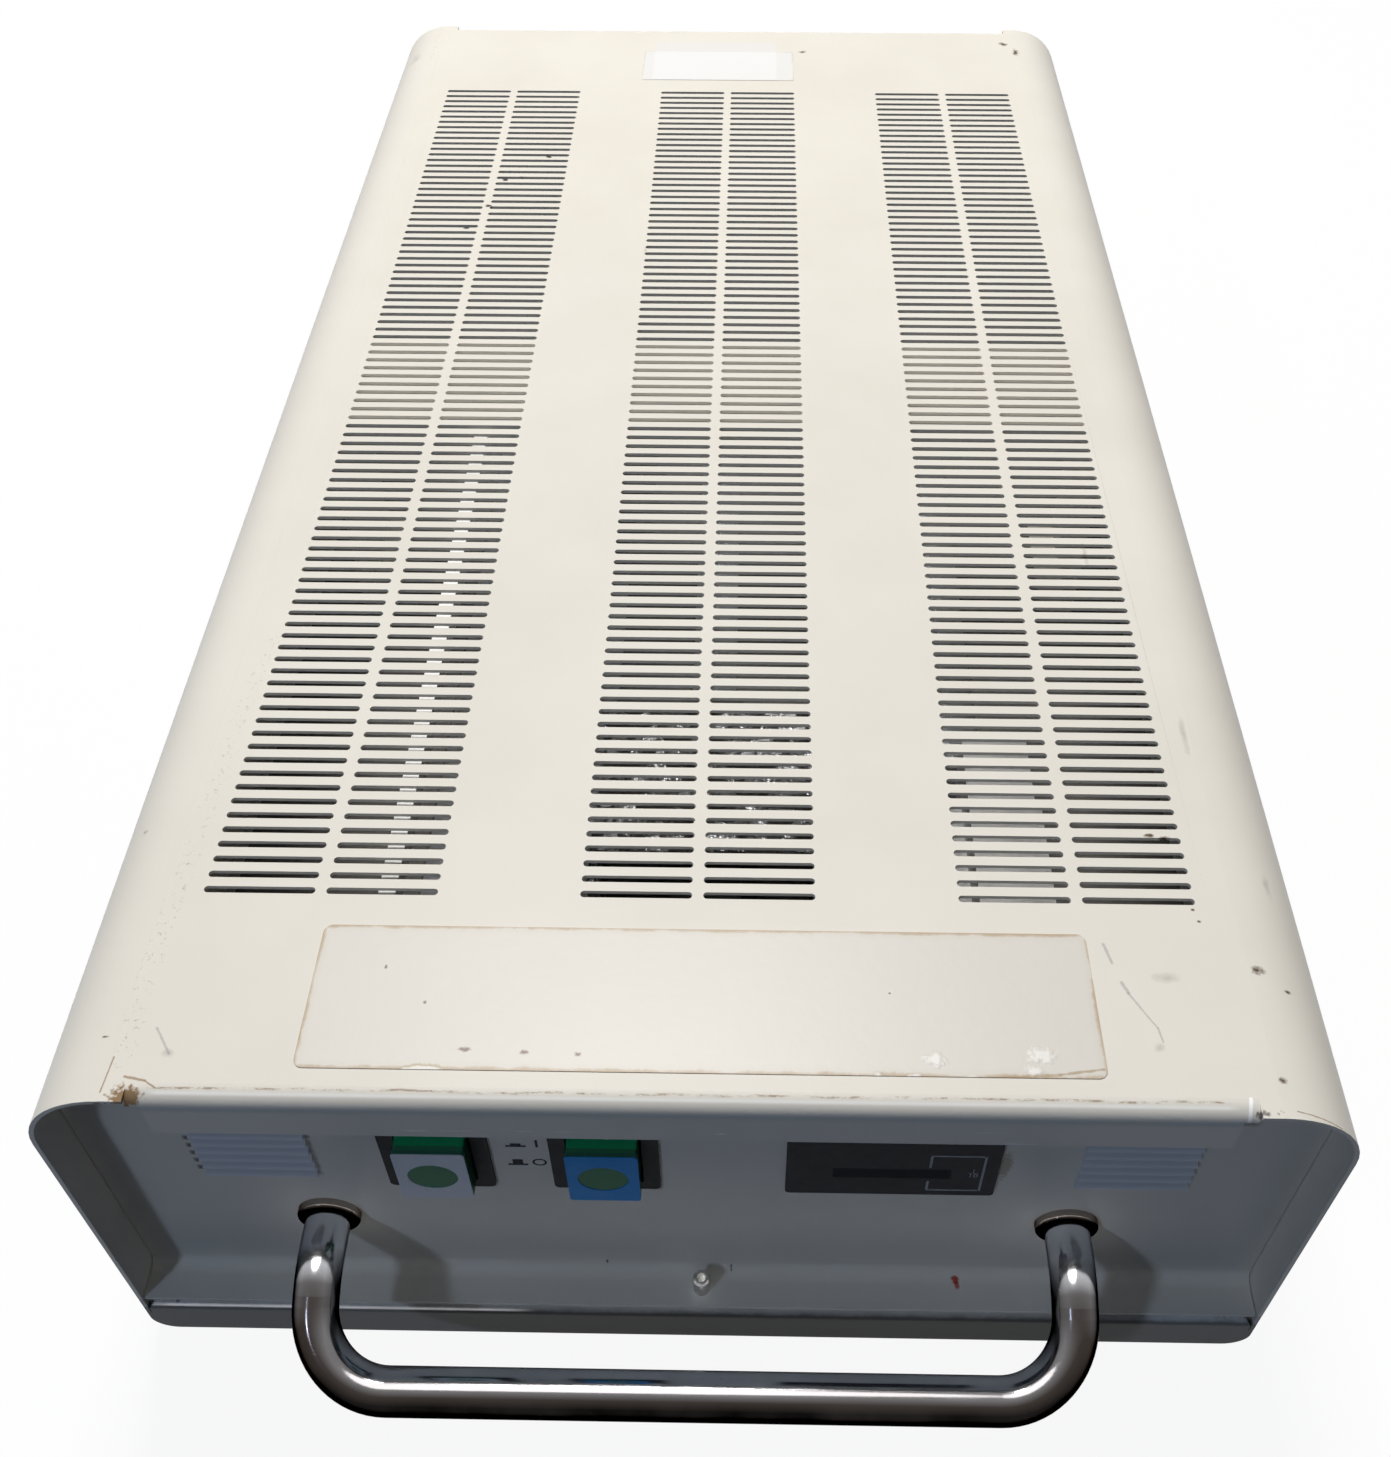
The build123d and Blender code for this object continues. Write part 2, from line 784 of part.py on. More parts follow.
def pane_retainers():
    """Four stepped strips that clamp the pane's edges to the tray."""
    pane_top = sheet + pane_thickness
    strips = []
    half_x = light_opening_width / 2 + pane_overlap
    half_y = light_opening_length / 2 + pane_overlap
    long_y = centred(middle_y, light_opening_length)
    short_x = centred(0, light_opening_width)
    for side in (-1, 1):
        grip = sorted((side * (half_x - retainer_grip), side * (half_x + retainer_play)))
        foot_start = half_x + retainer_play
        foot = sorted((side * foot_start, side * (foot_start + retainer_foot)))
        step = sorted((side * foot_start, side * (foot_start + retainer_sheet)))
        strip = block(grip, long_y, (pane_top, pane_top + retainer_sheet))
        strip = strip + block(foot, long_y, (sheet, sheet + retainer_sheet))
        strip = strip + block(step, long_y, (sheet, pane_top + retainer_sheet))
        strips.append(strip)
        grip = sorted((middle_y + side * (half_y - retainer_grip), middle_y + side * (half_y + retainer_play)))
        foot_start = half_y + retainer_play
        foot = sorted((middle_y + side * foot_start, middle_y + side * (foot_start + retainer_foot)))
        step = sorted((middle_y + side * foot_start, middle_y + side * (foot_start + retainer_sheet)))
        strip = block(short_x, grip, (pane_top, pane_top + retainer_sheet))
        strip = strip + block(short_x, foot, (sheet, sheet + retainer_sheet))
        strip = strip + block(short_x, step, (sheet, pane_top + retainer_sheet))
        strips.append(strip)
    holes = [disc_z(screw_radius + stud_fit, place, (sheet - overrun, sheet + overrun))
             for place in retainer_screw_places()]
    return [strip - holes for strip in strips]


def retainer_screws():
    length = sheet + retainer_sheet - fit_gap
    return [Pos(x, y, sheet + retainer_sheet) * screw(length) for x, y in retainer_screw_places()]


# Electrical pieces on top of the reflector
def ballasts():
    """Three ballasts: a foot plate, a core and two coil caps each."""
    solids = []
    for x, y in ballast_places():
        foot = block(centred(x, ballast_width), centred(y, ballast_length),
                     (reflector_top, reflector_top + ballast_foot))
        core_length = ballast_length - 4 * ballast_screw_inset
        base = reflector_top + ballast_foot
        core = block(centred(x, ballast_core_width), centred(y, core_length),
                     (base, base + ballast_core_height))
        cap = block(centred(x, ballast_width), centred(y, core_length * 2 / 3),
                    (base, base + ballast_cap_height))
        holes = [disc_z(screw_hole_radius, place, (reflector_top - overrun, base + overrun))
                 for place in ballast_screw_places()]
        solids.append((foot + core + cap) - holes)
    return solids


def ballast_screws():
    length = ballast_foot + reflector_sheet
    top = reflector_top + ballast_foot
    return [Pos(x, y, top) * screw(length) for x, y in ballast_screw_places()]


def wire_duct():
    """White square duct from the front panel to the bridge, close under the slots."""
    high = bridge_top - duct_drop
    low = high - duct_height
    shape = area(centred(duct_x, duct_width), (low, high))
    hollow = area(centred(duct_x, duct_width - 2 * duct_wall), (low + duct_wall, high - duct_wall))
    lip_y = vent_middle_y - bridge_width / 2
    return along_y(shape - hollow, (front_back_y + fit_gap, lip_y - fit_gap))


def heat_shield():
    """Thin bright cover bent over the middle ballast."""
    y0 = front_face_y + shield_front_y
    outer = area(centred(0, shield_width), (reflector_top, reflector_top + shield_height))
    inner = area(centred(0, shield_width - 2 * shield_sheet),
                 (reflector_top - overrun, reflector_top + shield_height - shield_sheet))
    tent = outer - inner
    half = shield_width / 2
    for side in (-1, 1):
        foot = area(sorted((side * (half - shield_sheet), side * (half + shield_foot))),
                    (reflector_top, reflector_top + shield_sheet))
        tent = tent + foot
    return along_y(tent, (y0, y0 + shield_length))


def terminal_way_xs():
    first = terminal_x - (terminal_ways - 1) * terminal_way_pitch / 2
    return [first + i * terminal_way_pitch for i in range(terminal_ways)]


def terminal_block():
    """Row of screw terminals with walls between the ways."""
    y = centred(rear_back_y - terminal_y, terminal_depth)
    x = (terminal_way_xs()[0] - terminal_way_pitch / 2, terminal_way_xs()[-1] + terminal_way_pitch / 2)
    low = block(x, y, (reflector_top, reflector_top + terminal_height / 2))
    walls = [low]
    for i in range(terminal_ways + 1):
        wall_x = x[0] + i * terminal_way_pitch
        lo = max(x[0], wall_x - terminal_wall / 2)
        hi = min(x[1], wall_x + terminal_wall / 2)
        walls.append(block((lo, hi), y, (reflector_top, reflector_top + terminal_height)))
    return join(walls)


def terminal_screws():
    top = reflector_top + terminal_height / 2
    y = rear_back_y - terminal_y
    quarter = terminal_depth / 4
    return [disc_z(terminal_screw_radius, (x, y + way * quarter), (top, top + terminal_height / 4))
            for x in terminal_way_xs() for way in (-1, 1)]


def grommets():
    """Rubber rings in the reflector's lead holes."""
    rings = []
    for place in grommet_places():
        ring = disc_z(grommet_hole - grommet_groove, place,
                      (rail_seat - grommet_flange, reflector_top + grommet_flange))
        for z in ((rail_seat - grommet_flange, rail_seat), (reflector_top, reflector_top + grommet_flange)):
            ring = ring + disc_z(grommet_radius, place, z)
        rings.append(ring - disc_z(grommet_bore, place, (rail_seat - overrun, reflector_top + overrun)))
    return rings


def tube_along(path, radius, bore=0.0):
    """Round bar or tube along a path."""
    section = Circle(radius) - Circle(bore) if bore > 0 else Circle(radius)
    return sweep(Plane(origin=path @ 0, z_dir=path % 0) * section, path=path)


def ballast_leads():
    """A bundle from the end of each ballast's core to the nearest lead hole."""
    height = reflector_top + ballast_foot + ballast_core_height * 2 / 3
    core_half = (ballast_length - 4 * ballast_screw_inset) / 2
    ends = [(-1, 1), (-1, -1), (1, -1)]
    leads = []
    for (x, y), (side, way) in zip(ballast_places(), ends):
        hole = (side * grommet_x, middle_y + way * grommet_y)
        start = (x, y + way * core_half, height)
        turn = (x, y + way * (core_half + lead_reach), height)
        path = Bezier(start, turn, (*hole, height + lead_rise), (*hole, reflector_top))
        leads.append(tube_along(path, lead_radius))
    return leads


# Handle
def handle_points():
    """Route of the handle's middle line, from the left foot to the right."""
    bend_y = front_face_y - handle_straight
    bar_y = front_face_y - handle_reach
    low = handle_height - handle_drop
    left = [(-handle_half, front_face_y, handle_height), (-handle_half, bend_y, handle_height),
            (-handle_half, bar_y, low)]
    return left + [(-x, y, z) for x, y, z in reversed(left)]


def handle_bar():
    bends = [handle_droop_bend, handle_corner_bend, handle_corner_bend, handle_droop_bend]
    path = FilletPolyline(*handle_points(), radius=bends)
    return tube_along(path, handle_radius, handle_radius - handle_wall)


def handle_collars():
    rings = []
    for side in (-1, 1):
        middle = (side * handle_half, handle_height)
        ring = disc_y(collar_radius, middle, (front_face_y - collar_height, front_face_y))
        ring = fillet(ring.edges().sort_by(Axis.Y)[0], collar_round)
        bore = disc_y(handle_radius + collar_fit, middle,
                      (front_face_y - collar_height - overrun, front_face_y + overrun))
        rings.append(ring - bore)
    return rings


def handle_studs():
    """Threaded stud in each tube end, with a plug that fills the tube's bore."""
    studs = []
    for side in (-1, 1):
        middle = (side * handle_half, handle_height)
        plug = disc_y(handle_radius - handle_wall - stud_fit, middle,
                      (front_face_y - stud_grip, front_face_y))
        tail = disc_y(stud_radius, middle, (front_face_y, front_back_y + stud_tail))
        studs.append(plug + tail)
    return studs


def hexagon_y(radius, middle, y):
    return along_y(Pos(*middle) * RegularPolygon(radius, 6), y)


def handle_nuts():
    """Washer and nut behind the panel on each stud."""
    nuts = []
    for side in (-1, 1):
        middle = (side * handle_half, handle_height)
        seat = front_back_y + washer_height
        hole = disc_y(stud_radius + stud_fit, middle, (front_back_y - overrun, seat + nut_height + overrun))
        nuts.append(disc_y(washer_radius, middle, (front_back_y, seat)) - hole)
        nuts.append(hexagon_y(nut_radius, middle, (seat, seat + nut_height)) - hole)
    return nuts


# Switches
def button_area(x, shrink, corner):
    width = button_width - 2 * shrink
    tall = button_tall - 2 * shrink
    return soft_area(centred(x, width), centred(button_height, tall), corner)


def button_cap(x):
    """Clear coloured cap: a box open at the back, with a disc that shows through the face."""
    front = front_face_y - button_proud
    cap_y = (front + button_face_thickness, front + button_depth)
    cap = along_y(button_area(x, 0, button_corner), cap_y)
    hollow_y = (cap_y[0] + button_wall, cap_y[1] + overrun)
    cap = cap - along_y(button_area(x, button_wall, button_corner / 2), hollow_y)
    disc = disc_y(button_disc_radius - stud_fit, (x, button_height),
                  (front + button_disc_sink, cap_y[0]))
    return cap + disc


def button_face(x):
    front = front_face_y - button_proud
    plate = along_y(button_area(x, 0, button_corner), (front, front + button_face_thickness))
    hole = disc_y(button_disc_radius, (x, button_height),
                  (front - overrun, front + button_face_thickness + overrun))
    return plate - hole


def switch_housing(x):
    """Black frame and body; the cap slides in it on the spring's post."""
    middle = button_height
    frame = along_y(soft_area(centred(x, bezel_width), centred(middle, bezel_tall), bezel_corner),
                    (front_face_y - bezel_thickness, front_face_y))
    body_width_here = bezel_width - 2 * switch_body_margin
    body_tall_here = bezel_tall - 2 * switch_body_margin
    back = front_face_y + switch_body_depth
    body = block(centred(x, body_width_here), (front_face_y, back), centred(middle, body_tall_here))
    well = along_y(button_area(x, -button_play, button_corner),
                   (front_face_y - bezel_thickness - overrun, back - switch_back_wall))
    post = disc_y(spring_post_radius, (x, middle),
                  (back - switch_back_wall - spring_post_length, back - switch_back_wall))
    return (frame + body) - well + post


def switch_spring(x):
    """Coil spring between the housing's back wall and the inside of the cap."""
    rear = front_face_y + switch_body_depth - switch_back_wall - spring_wire - spring_end_gap
    front = (front_face_y - button_proud + button_face_thickness + button_wall
             + spring_wire + spring_end_gap)
    length = rear - front
    path = Helix(pitch=length / spring_turns, height=length, radius=spring_radius,
                 center=(0, 0, 0), direction=(0, 0, 1))
    section = Plane(origin=path @ 0, z_dir=path % 0) * Circle(spring_wire)
    coil = sweep(section, path=path, is_frenet=True)
    return Pos(x, front, button_height) * Rot(-90, 0, 0) * coil


def switch_terminals():
    """Flat blades standing out of the back of both switches."""
    back = front_face_y + switch_body_depth
    blades = []
    for x in (white_button_x, blue_button_x):
        for across in (-1, 1):
            for up in (-1, 1):
                blades.append(block(centred(x + across * blade_pitch / 2, blade_thickness),
                                    (back, back + blade_length),
                                    centred(button_height + up * blade_pitch, blade_width)))
    return blades


# Hour meter
window_height = meter_height - meter_window_drop
drum_y = front_face_y - meter_bezel + meter_window_thickness + drum_window_gap + drum_radius
drum_first_x = meter_x - (drum_count - 1) * drum_pitch / 2


def meter_case():
    """Black front plate and body with a slot-shaped window, and walls that hold the drum shaft."""
    plate = along_y(soft_area(centred(meter_x, meter_width), centred(meter_height, meter_tall),
                              meter_corner), (front_face_y - meter_bezel, front_face_y))
    width = meter_width - 2 * meter_body_margin
    tall = meter_tall - 2 * meter_body_margin
    back = front_face_y + meter_body_depth
    body = block(centred(meter_x, width), (front_face_y, back), centred(meter_height, tall))
    room = block(centred(meter_x, width - 2 * meter_wall),
                 (front_face_y - meter_bezel + meter_window_thickness, back - meter_wall),
                 centred(meter_height, tall - 2 * meter_wall))
    window = block(centred(meter_x, meter_window_width),
                   (front_face_y - meter_bezel - overrun, front_face_y + overrun),
                   centred(window_height, meter_window_tall))
    case = (plate + body) - room - window
    half = drum_count * drum_pitch / 2 + meter_frame_side_gap
    for side in (-1, 1):
        x = sorted((meter_x + side * half, meter_x + side * (half + meter_frame_thickness)))
        wall = block(x, (front_face_y - meter_bezel + meter_window_thickness, drum_y + meter_frame_depth),
                     centred(meter_height, tall - meter_wall))
        case = case + wall
    hole_half = half + meter_frame_thickness + overrun
    hole = bar_x(shaft_radius, (drum_y, window_height), (meter_x - hole_half, meter_x + hole_half))
    return case - hole


def meter_shaft():
    half = drum_count * drum_pitch / 2 + meter_frame_side_gap + meter_frame_thickness
    return bar_x(shaft_radius, (drum_y, window_height), (meter_x - half, meter_x + half))


def meter_window():
    front = front_face_y - meter_bezel
    return block(centred(meter_x, meter_window_width), (front, front + meter_window_thickness),
                 centred(window_height, meter_window_tall))


def meter_drum(i):
    """One figure drum: a rim, a web and a hub with a running bore."""
    x = drum_first_x + i * drum_pitch
    span = centred(x, drum_width)
    middle = (drum_y, window_height)
    rim = bar_x(drum_radius, middle, span) - bar_x(drum_radius - drum_rim, middle, span)
    web = bar_x(drum_radius - drum_rim, middle, centred(x, drum_rim))
    hub = bar_x(drum_hub_radius, middle, centred(x, drum_pitch - drum_side_gap))
    bore = bar_x(shaft_radius + shaft_fit, middle, centred(x, drum_pitch + overrun))
    return join([rim, web, hub]) - bore


# Mains inlet
def mains_inlet():
    """Recessed inlet for an appliance connector, with no cord in it."""
    flange = along_y(soft_area(centred(inlet_x, inlet_flange_width),
                               centred(inlet_height, inlet_flange_tall), inlet_corner),
                     (rear_face_y, rear_face_y + inlet_flange_thickness))
    body = along_y(soft_area(centred(inlet_x, inlet_body_width),
                             centred(inlet_height, inlet_body_tall), inlet_corner),
                   (rear_face_y - inlet_body_depth, rear_face_y))
    mouth = along_y(soft_area(centred(inlet_x, inlet_body_width - 2 * inlet_wall),
                              centred(inlet_height, inlet_body_tall - 2 * inlet_wall),
                              inlet_corner - inlet_wall),
                    (rear_face_y + inlet_flange_thickness - inlet_mouth_depth,
                     rear_face_y + inlet_flange_thickness + overrun))
    holes = []
    for side in (-1, 1):
        holes.append(disc_y(screw_hole_radius, (inlet_x + side * inlet_screw_spacing / 2, inlet_height),
                            (rear_face_y - overrun, rear_face_y + inlet_flange_thickness + overrun)))
    return (flange + body) - mouth - holes - inlet_pin_bodies()


def inlet_pin_bodies():
    """Three flat pins, the middle one raised, that pass through the inlet's floor."""
    floor = rear_face_y + inlet_flange_thickness - inlet_mouth_depth
    y = (rear_face_y - inlet_body_depth - inlet_tail_length, floor + inlet_pin_length)
    bodies = []
    for step in (-1, 0, 1):
        lift = inlet_earth_lift if step == 0 else -inlet_earth_lift
        bodies.append(block(centred(inlet_x + step * inlet_pin_spread, inlet_pin_width), y,
                            centred(inlet_height + lift, inlet_pin_tall)))
    return bodies


def inlet_screws():
    length = inlet_flange_thickness + sheet + overrun
    seat = rear_face_y + inlet_flange_thickness
    return [Pos(inlet_x + side * inlet_screw_spacing / 2, seat, inlet_height) * Rot(-90, 0, 0)
            * screw(length) for side in (-1, 1)]


# Small outer pieces
def side_screws():
    """Screws through the cover's sides into the rails and the panels' tabs."""
    seat = half_width
    screws = []
    for y, z in side_screw_places():
        right = Pos(seat, y, z) * Rot(0, 90, 0) * screw(side_screw_length)
        screws += both_sides(right)
    return screws


def ledge_stud():
    """Plated stud standing on the front ledge, with a drilled end and a nut under the ledge."""
    place = (ledge_stud_x, (front_y + front_face_y) / 2)
    low = ledge_top - sheet - ledge_nut_height
    high = ledge_top + ledge_stud_height
    stud = disc_z(ledge_stud_radius, place, (low, high))
    stud = chamfer(stud.edges().sort_by(Axis.Z)[-1], ledge_stud_chamfer)
    bore = disc_z(ledge_stud_bore, place, (high - ledge_stud_bore_depth, high + overrun))
    nut = along_z(Pos(*place) * RegularPolygon(ledge_nut_radius, 6), (low, ledge_top - sheet))
    return stud - bore + nut


def front_label():
    """Thin blank label along the cover's front edge."""
    y = (front_y + front_label_edge, front_y + front_label_edge + front_label_length)
    shape = soft_area(centred(front_label_x, front_label_width), y, label_corner)
    return along_z(shape, (body_height, body_height + label_thickness))


def rear_tag():
    """Blank sticker near the cover's back edge, with a second one stuck over its middle."""
    y = (rear_y - rear_tag_edge - rear_tag_length, rear_y - rear_tag_edge)
    tag = soft_area(centred(rear_tag_x, rear_tag_width), y, label_corner / 2)
    patch = area(centred(rear_patch_x, rear_patch_width), (y[0], rear_y - rear_patch_edge))
    return [along_z(tag - patch, (body_height, body_height + rear_tag_thickness)),
            along_z(patch, (body_height, body_height + label_thickness))]


save("top_cover", top_cover())
save("base_pan", base_pan())
save("front_panel", front_panel())
save("rear_panel", rear_panel())
save("side_rails", side_rails())
save("centre_bridge", centre_bridge())
save("reflector", reflector())
save("front_holder_rail", holder_rail(-1))
save("rear_holder_rail", holder_rail(1))
save("front_lamp_holders", lamp_holders(-1))
save("rear_lamp_holders", lamp_holders(1))
for number, lamp_x in enumerate(lamp_xs, start=1):
    save(f"lamp_{number}", lamp(lamp_x))
save("diffuser_pane", diffuser_pane())
save("pane_retainers", pane_retainers())
save("retainer_screws", retainer_screws())
save("ballasts", ballasts())
save("ballast_screws", ballast_screws())
save("ballast_leads", ballast_leads())
save("grommets", grommets())
save("wire_duct", wire_duct())
save("heat_shield", heat_shield())
save("terminal_block", terminal_block())
save("terminal_screws", terminal_screws())
save("handle_bar", handle_bar())
save("handle_collars", handle_collars())
save("handle_studs", handle_studs())
save("handle_nuts", handle_nuts())
for colour, button_x in (("white", white_button_x), ("blue", blue_button_x)):
    save(f"{colour}_button_cap", button_cap(button_x))
    save(f"{colour}_button_face", button_face(button_x))
    save(f"{colour}_switch_housing", switch_housing(button_x))
    save(f"{colour}_switch_spring", switch_spring(button_x))
save("switch_terminals", switch_terminals())
save("meter_case", meter_case())
save("meter_window", meter_window())
save("meter_shaft", meter_shaft())
for number in range(drum_count):
    save(f"meter_drum_{number + 1}", meter_drum(number))
save("mains_inlet", mains_inlet())
save("inlet_pins", inlet_pin_bodies())
save("inlet_screws", inlet_screws())
save("side_screws", side_screws())
save("ledge_stud", ledge_stud())
save("front_label", front_label())
save("rear_tag", rear_tag())
print(len(pieces), "nodes")
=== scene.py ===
import json
import math

import bmesh
import bpy
from mathutils import Matrix, Vector


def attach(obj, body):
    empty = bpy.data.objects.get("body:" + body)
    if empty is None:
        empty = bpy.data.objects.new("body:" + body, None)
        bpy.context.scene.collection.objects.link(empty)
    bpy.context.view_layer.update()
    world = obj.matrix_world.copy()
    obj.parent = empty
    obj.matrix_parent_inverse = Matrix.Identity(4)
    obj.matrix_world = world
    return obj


# Looks of a phototherapy lamp head. Places of marks are in millimetres in the shared frame and are
# turned into metres where they are used. The studio's lamps and floor are in metres.

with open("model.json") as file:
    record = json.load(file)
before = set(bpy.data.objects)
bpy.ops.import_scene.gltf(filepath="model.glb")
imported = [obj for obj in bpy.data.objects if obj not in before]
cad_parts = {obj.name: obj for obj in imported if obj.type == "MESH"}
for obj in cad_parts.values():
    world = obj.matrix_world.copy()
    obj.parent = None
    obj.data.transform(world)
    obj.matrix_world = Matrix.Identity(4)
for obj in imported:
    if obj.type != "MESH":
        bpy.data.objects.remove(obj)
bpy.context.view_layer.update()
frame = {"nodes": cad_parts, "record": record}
nodes = frame["nodes"]

MM = 0.001
FRONT = -328.925
REAR = 374.075
MIDDLE = (FRONT + REAR) / 2
FACE = FRONT + 14.5
METER_FACE = FACE - 1.0
TOP = 173.0
LIP_TOP = 19.0
LOUVRE_LOW = 98.1
LOUVRE_STEP = 5.2
CREAM = (0.735, 0.70, 0.625)
DASH_Y = -324.2
TUBE_END = 283.0

LENS = 38.55
SENSOR = 36.0
LENS_SHIFT = (-0.0253, -0.0882)
YAW, PITCH = -0.89, 44.84
EYE = (15.7, -544.825, 596.1)

FLOOR_HALF = 6.0
FLOOR_DROP = 0.0005
FLOOR_GLOW = 0.92


# Camera

def make_camera():
    """The photograph's camera, found from the body's corners in the picture."""
    data = bpy.data.cameras.new("camera")
    data.lens = LENS
    data.sensor_width = SENSOR
    data.shift_x, data.shift_y = LENS_SHIFT
    obj = bpy.data.objects.new("camera", data)
    bpy.context.scene.collection.objects.link(obj)
    yaw, pitch = math.radians(YAW), math.radians(PITCH)
    ahead = Vector((math.sin(yaw) * math.cos(pitch), math.cos(yaw) * math.cos(pitch), -math.sin(pitch)))
    obj.rotation_euler = ahead.to_track_quat("-Z", "Y").to_euler()
    obj.location = Vector(EYE) * MM
    bpy.context.scene.camera = obj


# Node materials

class Surface:
    """One node material on a Principled shader, with its patterns laid out in the shared frame."""

    def __init__(self, name, colour, roughness, metallic=0.0):
        self.material = bpy.data.materials.new(name)
        self.material.use_nodes = True
        self.tree = self.material.node_tree
        self.shader = self.tree.nodes["Principled BSDF"]
        self.shader.inputs["Metallic"].default_value = metallic
        self.place = self.add("ShaderNodeTexCoord").outputs["Object"]
        self.colour = (*colour, 1.0)
        self.rough = roughness
        self.height = None
        self.metal = None
        self.noises = {}

    def add(self, kind, inputs=None, **settings):
        node = self.tree.nodes.new(kind)
        for key, value in settings.items():
            setattr(node, key, value)
        for key, value in (inputs or {}).items():
            if isinstance(value, bpy.types.NodeSocket):
                self.tree.links.new(value, node.inputs[key])
            else:
                node.inputs[key].default_value = value
        return node

    def math(self, kind, a, b=0.0):
        return self.add("ShaderNodeMath", {0: a, 1: b}, operation=kind).outputs[0]

    def vector(self, kind, a, b=(0, 0, 0)):
        return self.add("ShaderNodeVectorMath", {0: a, 1: b}, operation=kind).outputs[0]

    def times(self, amount, *others):
        """Product of several amounts."""
        for other in others:
            amount = self.math("MULTIPLY", amount, other)
        return amount

    def noise(self, scale, detail=3.0, rough=0.55, stretch=(1, 1, 1)):
        """Noise from 0 to 1; scale is in features per metre, stretch squeezes it along an axis."""
        key = (scale, detail, rough, stretch)
        if key not in self.noises:
            place = self.vector("MULTIPLY", self.place, stretch)
            node = self.add("ShaderNodeTexNoise", {"Vector": place, "Scale": scale,
                                                   "Detail": detail, "Roughness": rough})
            self.noises[key] = node.outputs["Fac"]
        return self.noises[key]

    def span(self, value, low, high, out_low=0.0, out_high=1.0):
        """Value mapped from low..high to out_low..out_high and held inside that range."""
        node = self.add("ShaderNodeMapRange", {0: value, 1: low, 2: high, 3: out_low, 4: out_high})
        return node.outputs[0]

    def paint(self, amount, colour):
        """Lay a colour over what is there, by an amount from 0 to 1."""
        node = self.add("ShaderNodeMix", {"Factor": amount, 6: self.colour, 7: (*colour, 1.0)},
                        data_type="RGBA")
        self.colour = node.outputs[2]

    def roughen(self, amount, value):
        self.rough = self.add("ShaderNodeMix", {"Factor": amount, 2: self.rough, 3: value},
                              data_type="FLOAT").outputs[0]

    def raise_by(self, value, amount):
        scaled = self.math("MULTIPLY", value, amount)
        self.height = scaled if self.height is None else self.math("ADD", self.height, scaled)

    def ball(self, centre, size, soft=0.5, rag=0.0, grain=400.0):
        """Amount from 0 to 1 inside an ellipsoid given in millimetres, with a ragged border."""
        away = self.vector("SUBTRACT", self.place, tuple(c * MM for c in centre))
        away = self.vector("DIVIDE", away, tuple(s * MM for s in size))
        length = self.add("ShaderNodeVectorMath", {0: away}, operation="LENGTH").outputs["Value"]
        if rag:
            shift = self.math("MULTIPLY", self.math("SUBTRACT", self.noise(grain), 0.5), rag * 2)
            length = self.math("ADD", length, shift)
        return self.span(length, 1.0, 1.0 - soft)

    def stroke(self, start, end, width, soft=0.7, rag=0.5, grain=700.0):
        """Amount from 0 to 1 near a line between two (x, y) places on the roof, in millimetres."""
        along = Vector((end[0] - start[0], end[1] - start[1], 0.0)) * MM
        away = self.vector("SUBTRACT", self.place, (start[0] * MM, start[1] * MM, 0.0))
        away = self.vector("MULTIPLY", away, (1, 1, 0))
        share = self.add("ShaderNodeVectorMath", {0: away, 1: along / along.length_squared},
                         operation="DOT_PRODUCT").outputs["Value"]
        share = self.span(share, 0.0, 1.0)
        nearest = self.add("ShaderNodeVectorMath", {0: along, "Scale": share}, operation="SCALE")
        away = self.vector("SUBTRACT", away, nearest.outputs[0])
        length = self.add("ShaderNodeVectorMath", {0: away}, operation="LENGTH").outputs["Value"]
        length = self.math("DIVIDE", length, width * MM)
        shift = self.math("MULTIPLY", self.math("SUBTRACT", self.noise(grain), 0.5), rag * 2)
        return self.span(self.math("ADD", length, shift), 1.0, 1.0 - soft)

    def bare(self, amount, colour):
        """Metal rubbed clear of its paint."""
        self.paint(amount, colour)
        self.metal = amount if self.metal is None else self.math("MAXIMUM", self.metal, amount)

    def normal(self, which):
        """Part of the surface's direction along an axis."""
        facing = self.add("ShaderNodeTexCoord").outputs["Normal"]
        return self.add("ShaderNodeSeparateXYZ", {0: facing}).outputs["XYZ".index(which)]

    def axis(self, which):
        """Place along an axis, in metres."""
        return self.add("ShaderNodeSeparateXYZ", {0: self.place}).outputs["XYZ".index(which)]

    def band(self, which, low, high, soft=1.0):
        """Amount from 0 to 1 between two places on an axis, in millimetres."""
        value = self.axis(which)
        rise = self.span(value, (low - soft) * MM, (low + soft) * MM)
        fall = self.span(value, (high - soft) * MM, (high + soft) * MM, 1.0, 0.0)
        return self.math("MULTIPLY", rise, fall)

    def finish(self, bump, distance, **sockets):
        """Join everything to the shader; distance is the height of the bumps in metres."""
        for key, value in (("Base Color", self.colour), ("Roughness", self.rough),
                           ("Metallic", self.metal)):
            if isinstance(value, bpy.types.NodeSocket):
                self.tree.links.new(value, self.shader.inputs[key])
            elif value is not None:
                self.shader.inputs[key].default_value = value
        for key, value in sockets.items():
            self.shader.inputs[key.replace("_", " ")].default_value = value
        if self.height is not None:
            node = self.add("ShaderNodeBump", {"Strength": bump, "Distance": distance,
                                               "Height": self.height})
            self.tree.links.new(node.outputs[0], self.shader.inputs["Normal"])
        return self.material


def cream_paint(name):
    """Cream enamel with an uneven tone, faint rub marks and an orange-peel skin."""
    s = Surface(name, CREAM, 0.33)
    cloud = s.span(s.noise(14.0, 4.0), 0.35, 0.7)
    s.paint(s.times(cloud, 0.12), (0.45, 0.40, 0.32))
    rub = s.span(s.noise(60.0, 5.0, 0.7, (1.0, 0.12, 1.0)), 0.62, 0.75)
    s.roughen(s.times(rub, 0.5), 0.6)
    s.raise_by(s.noise(900.0, 2.0), 0.35)
    return s


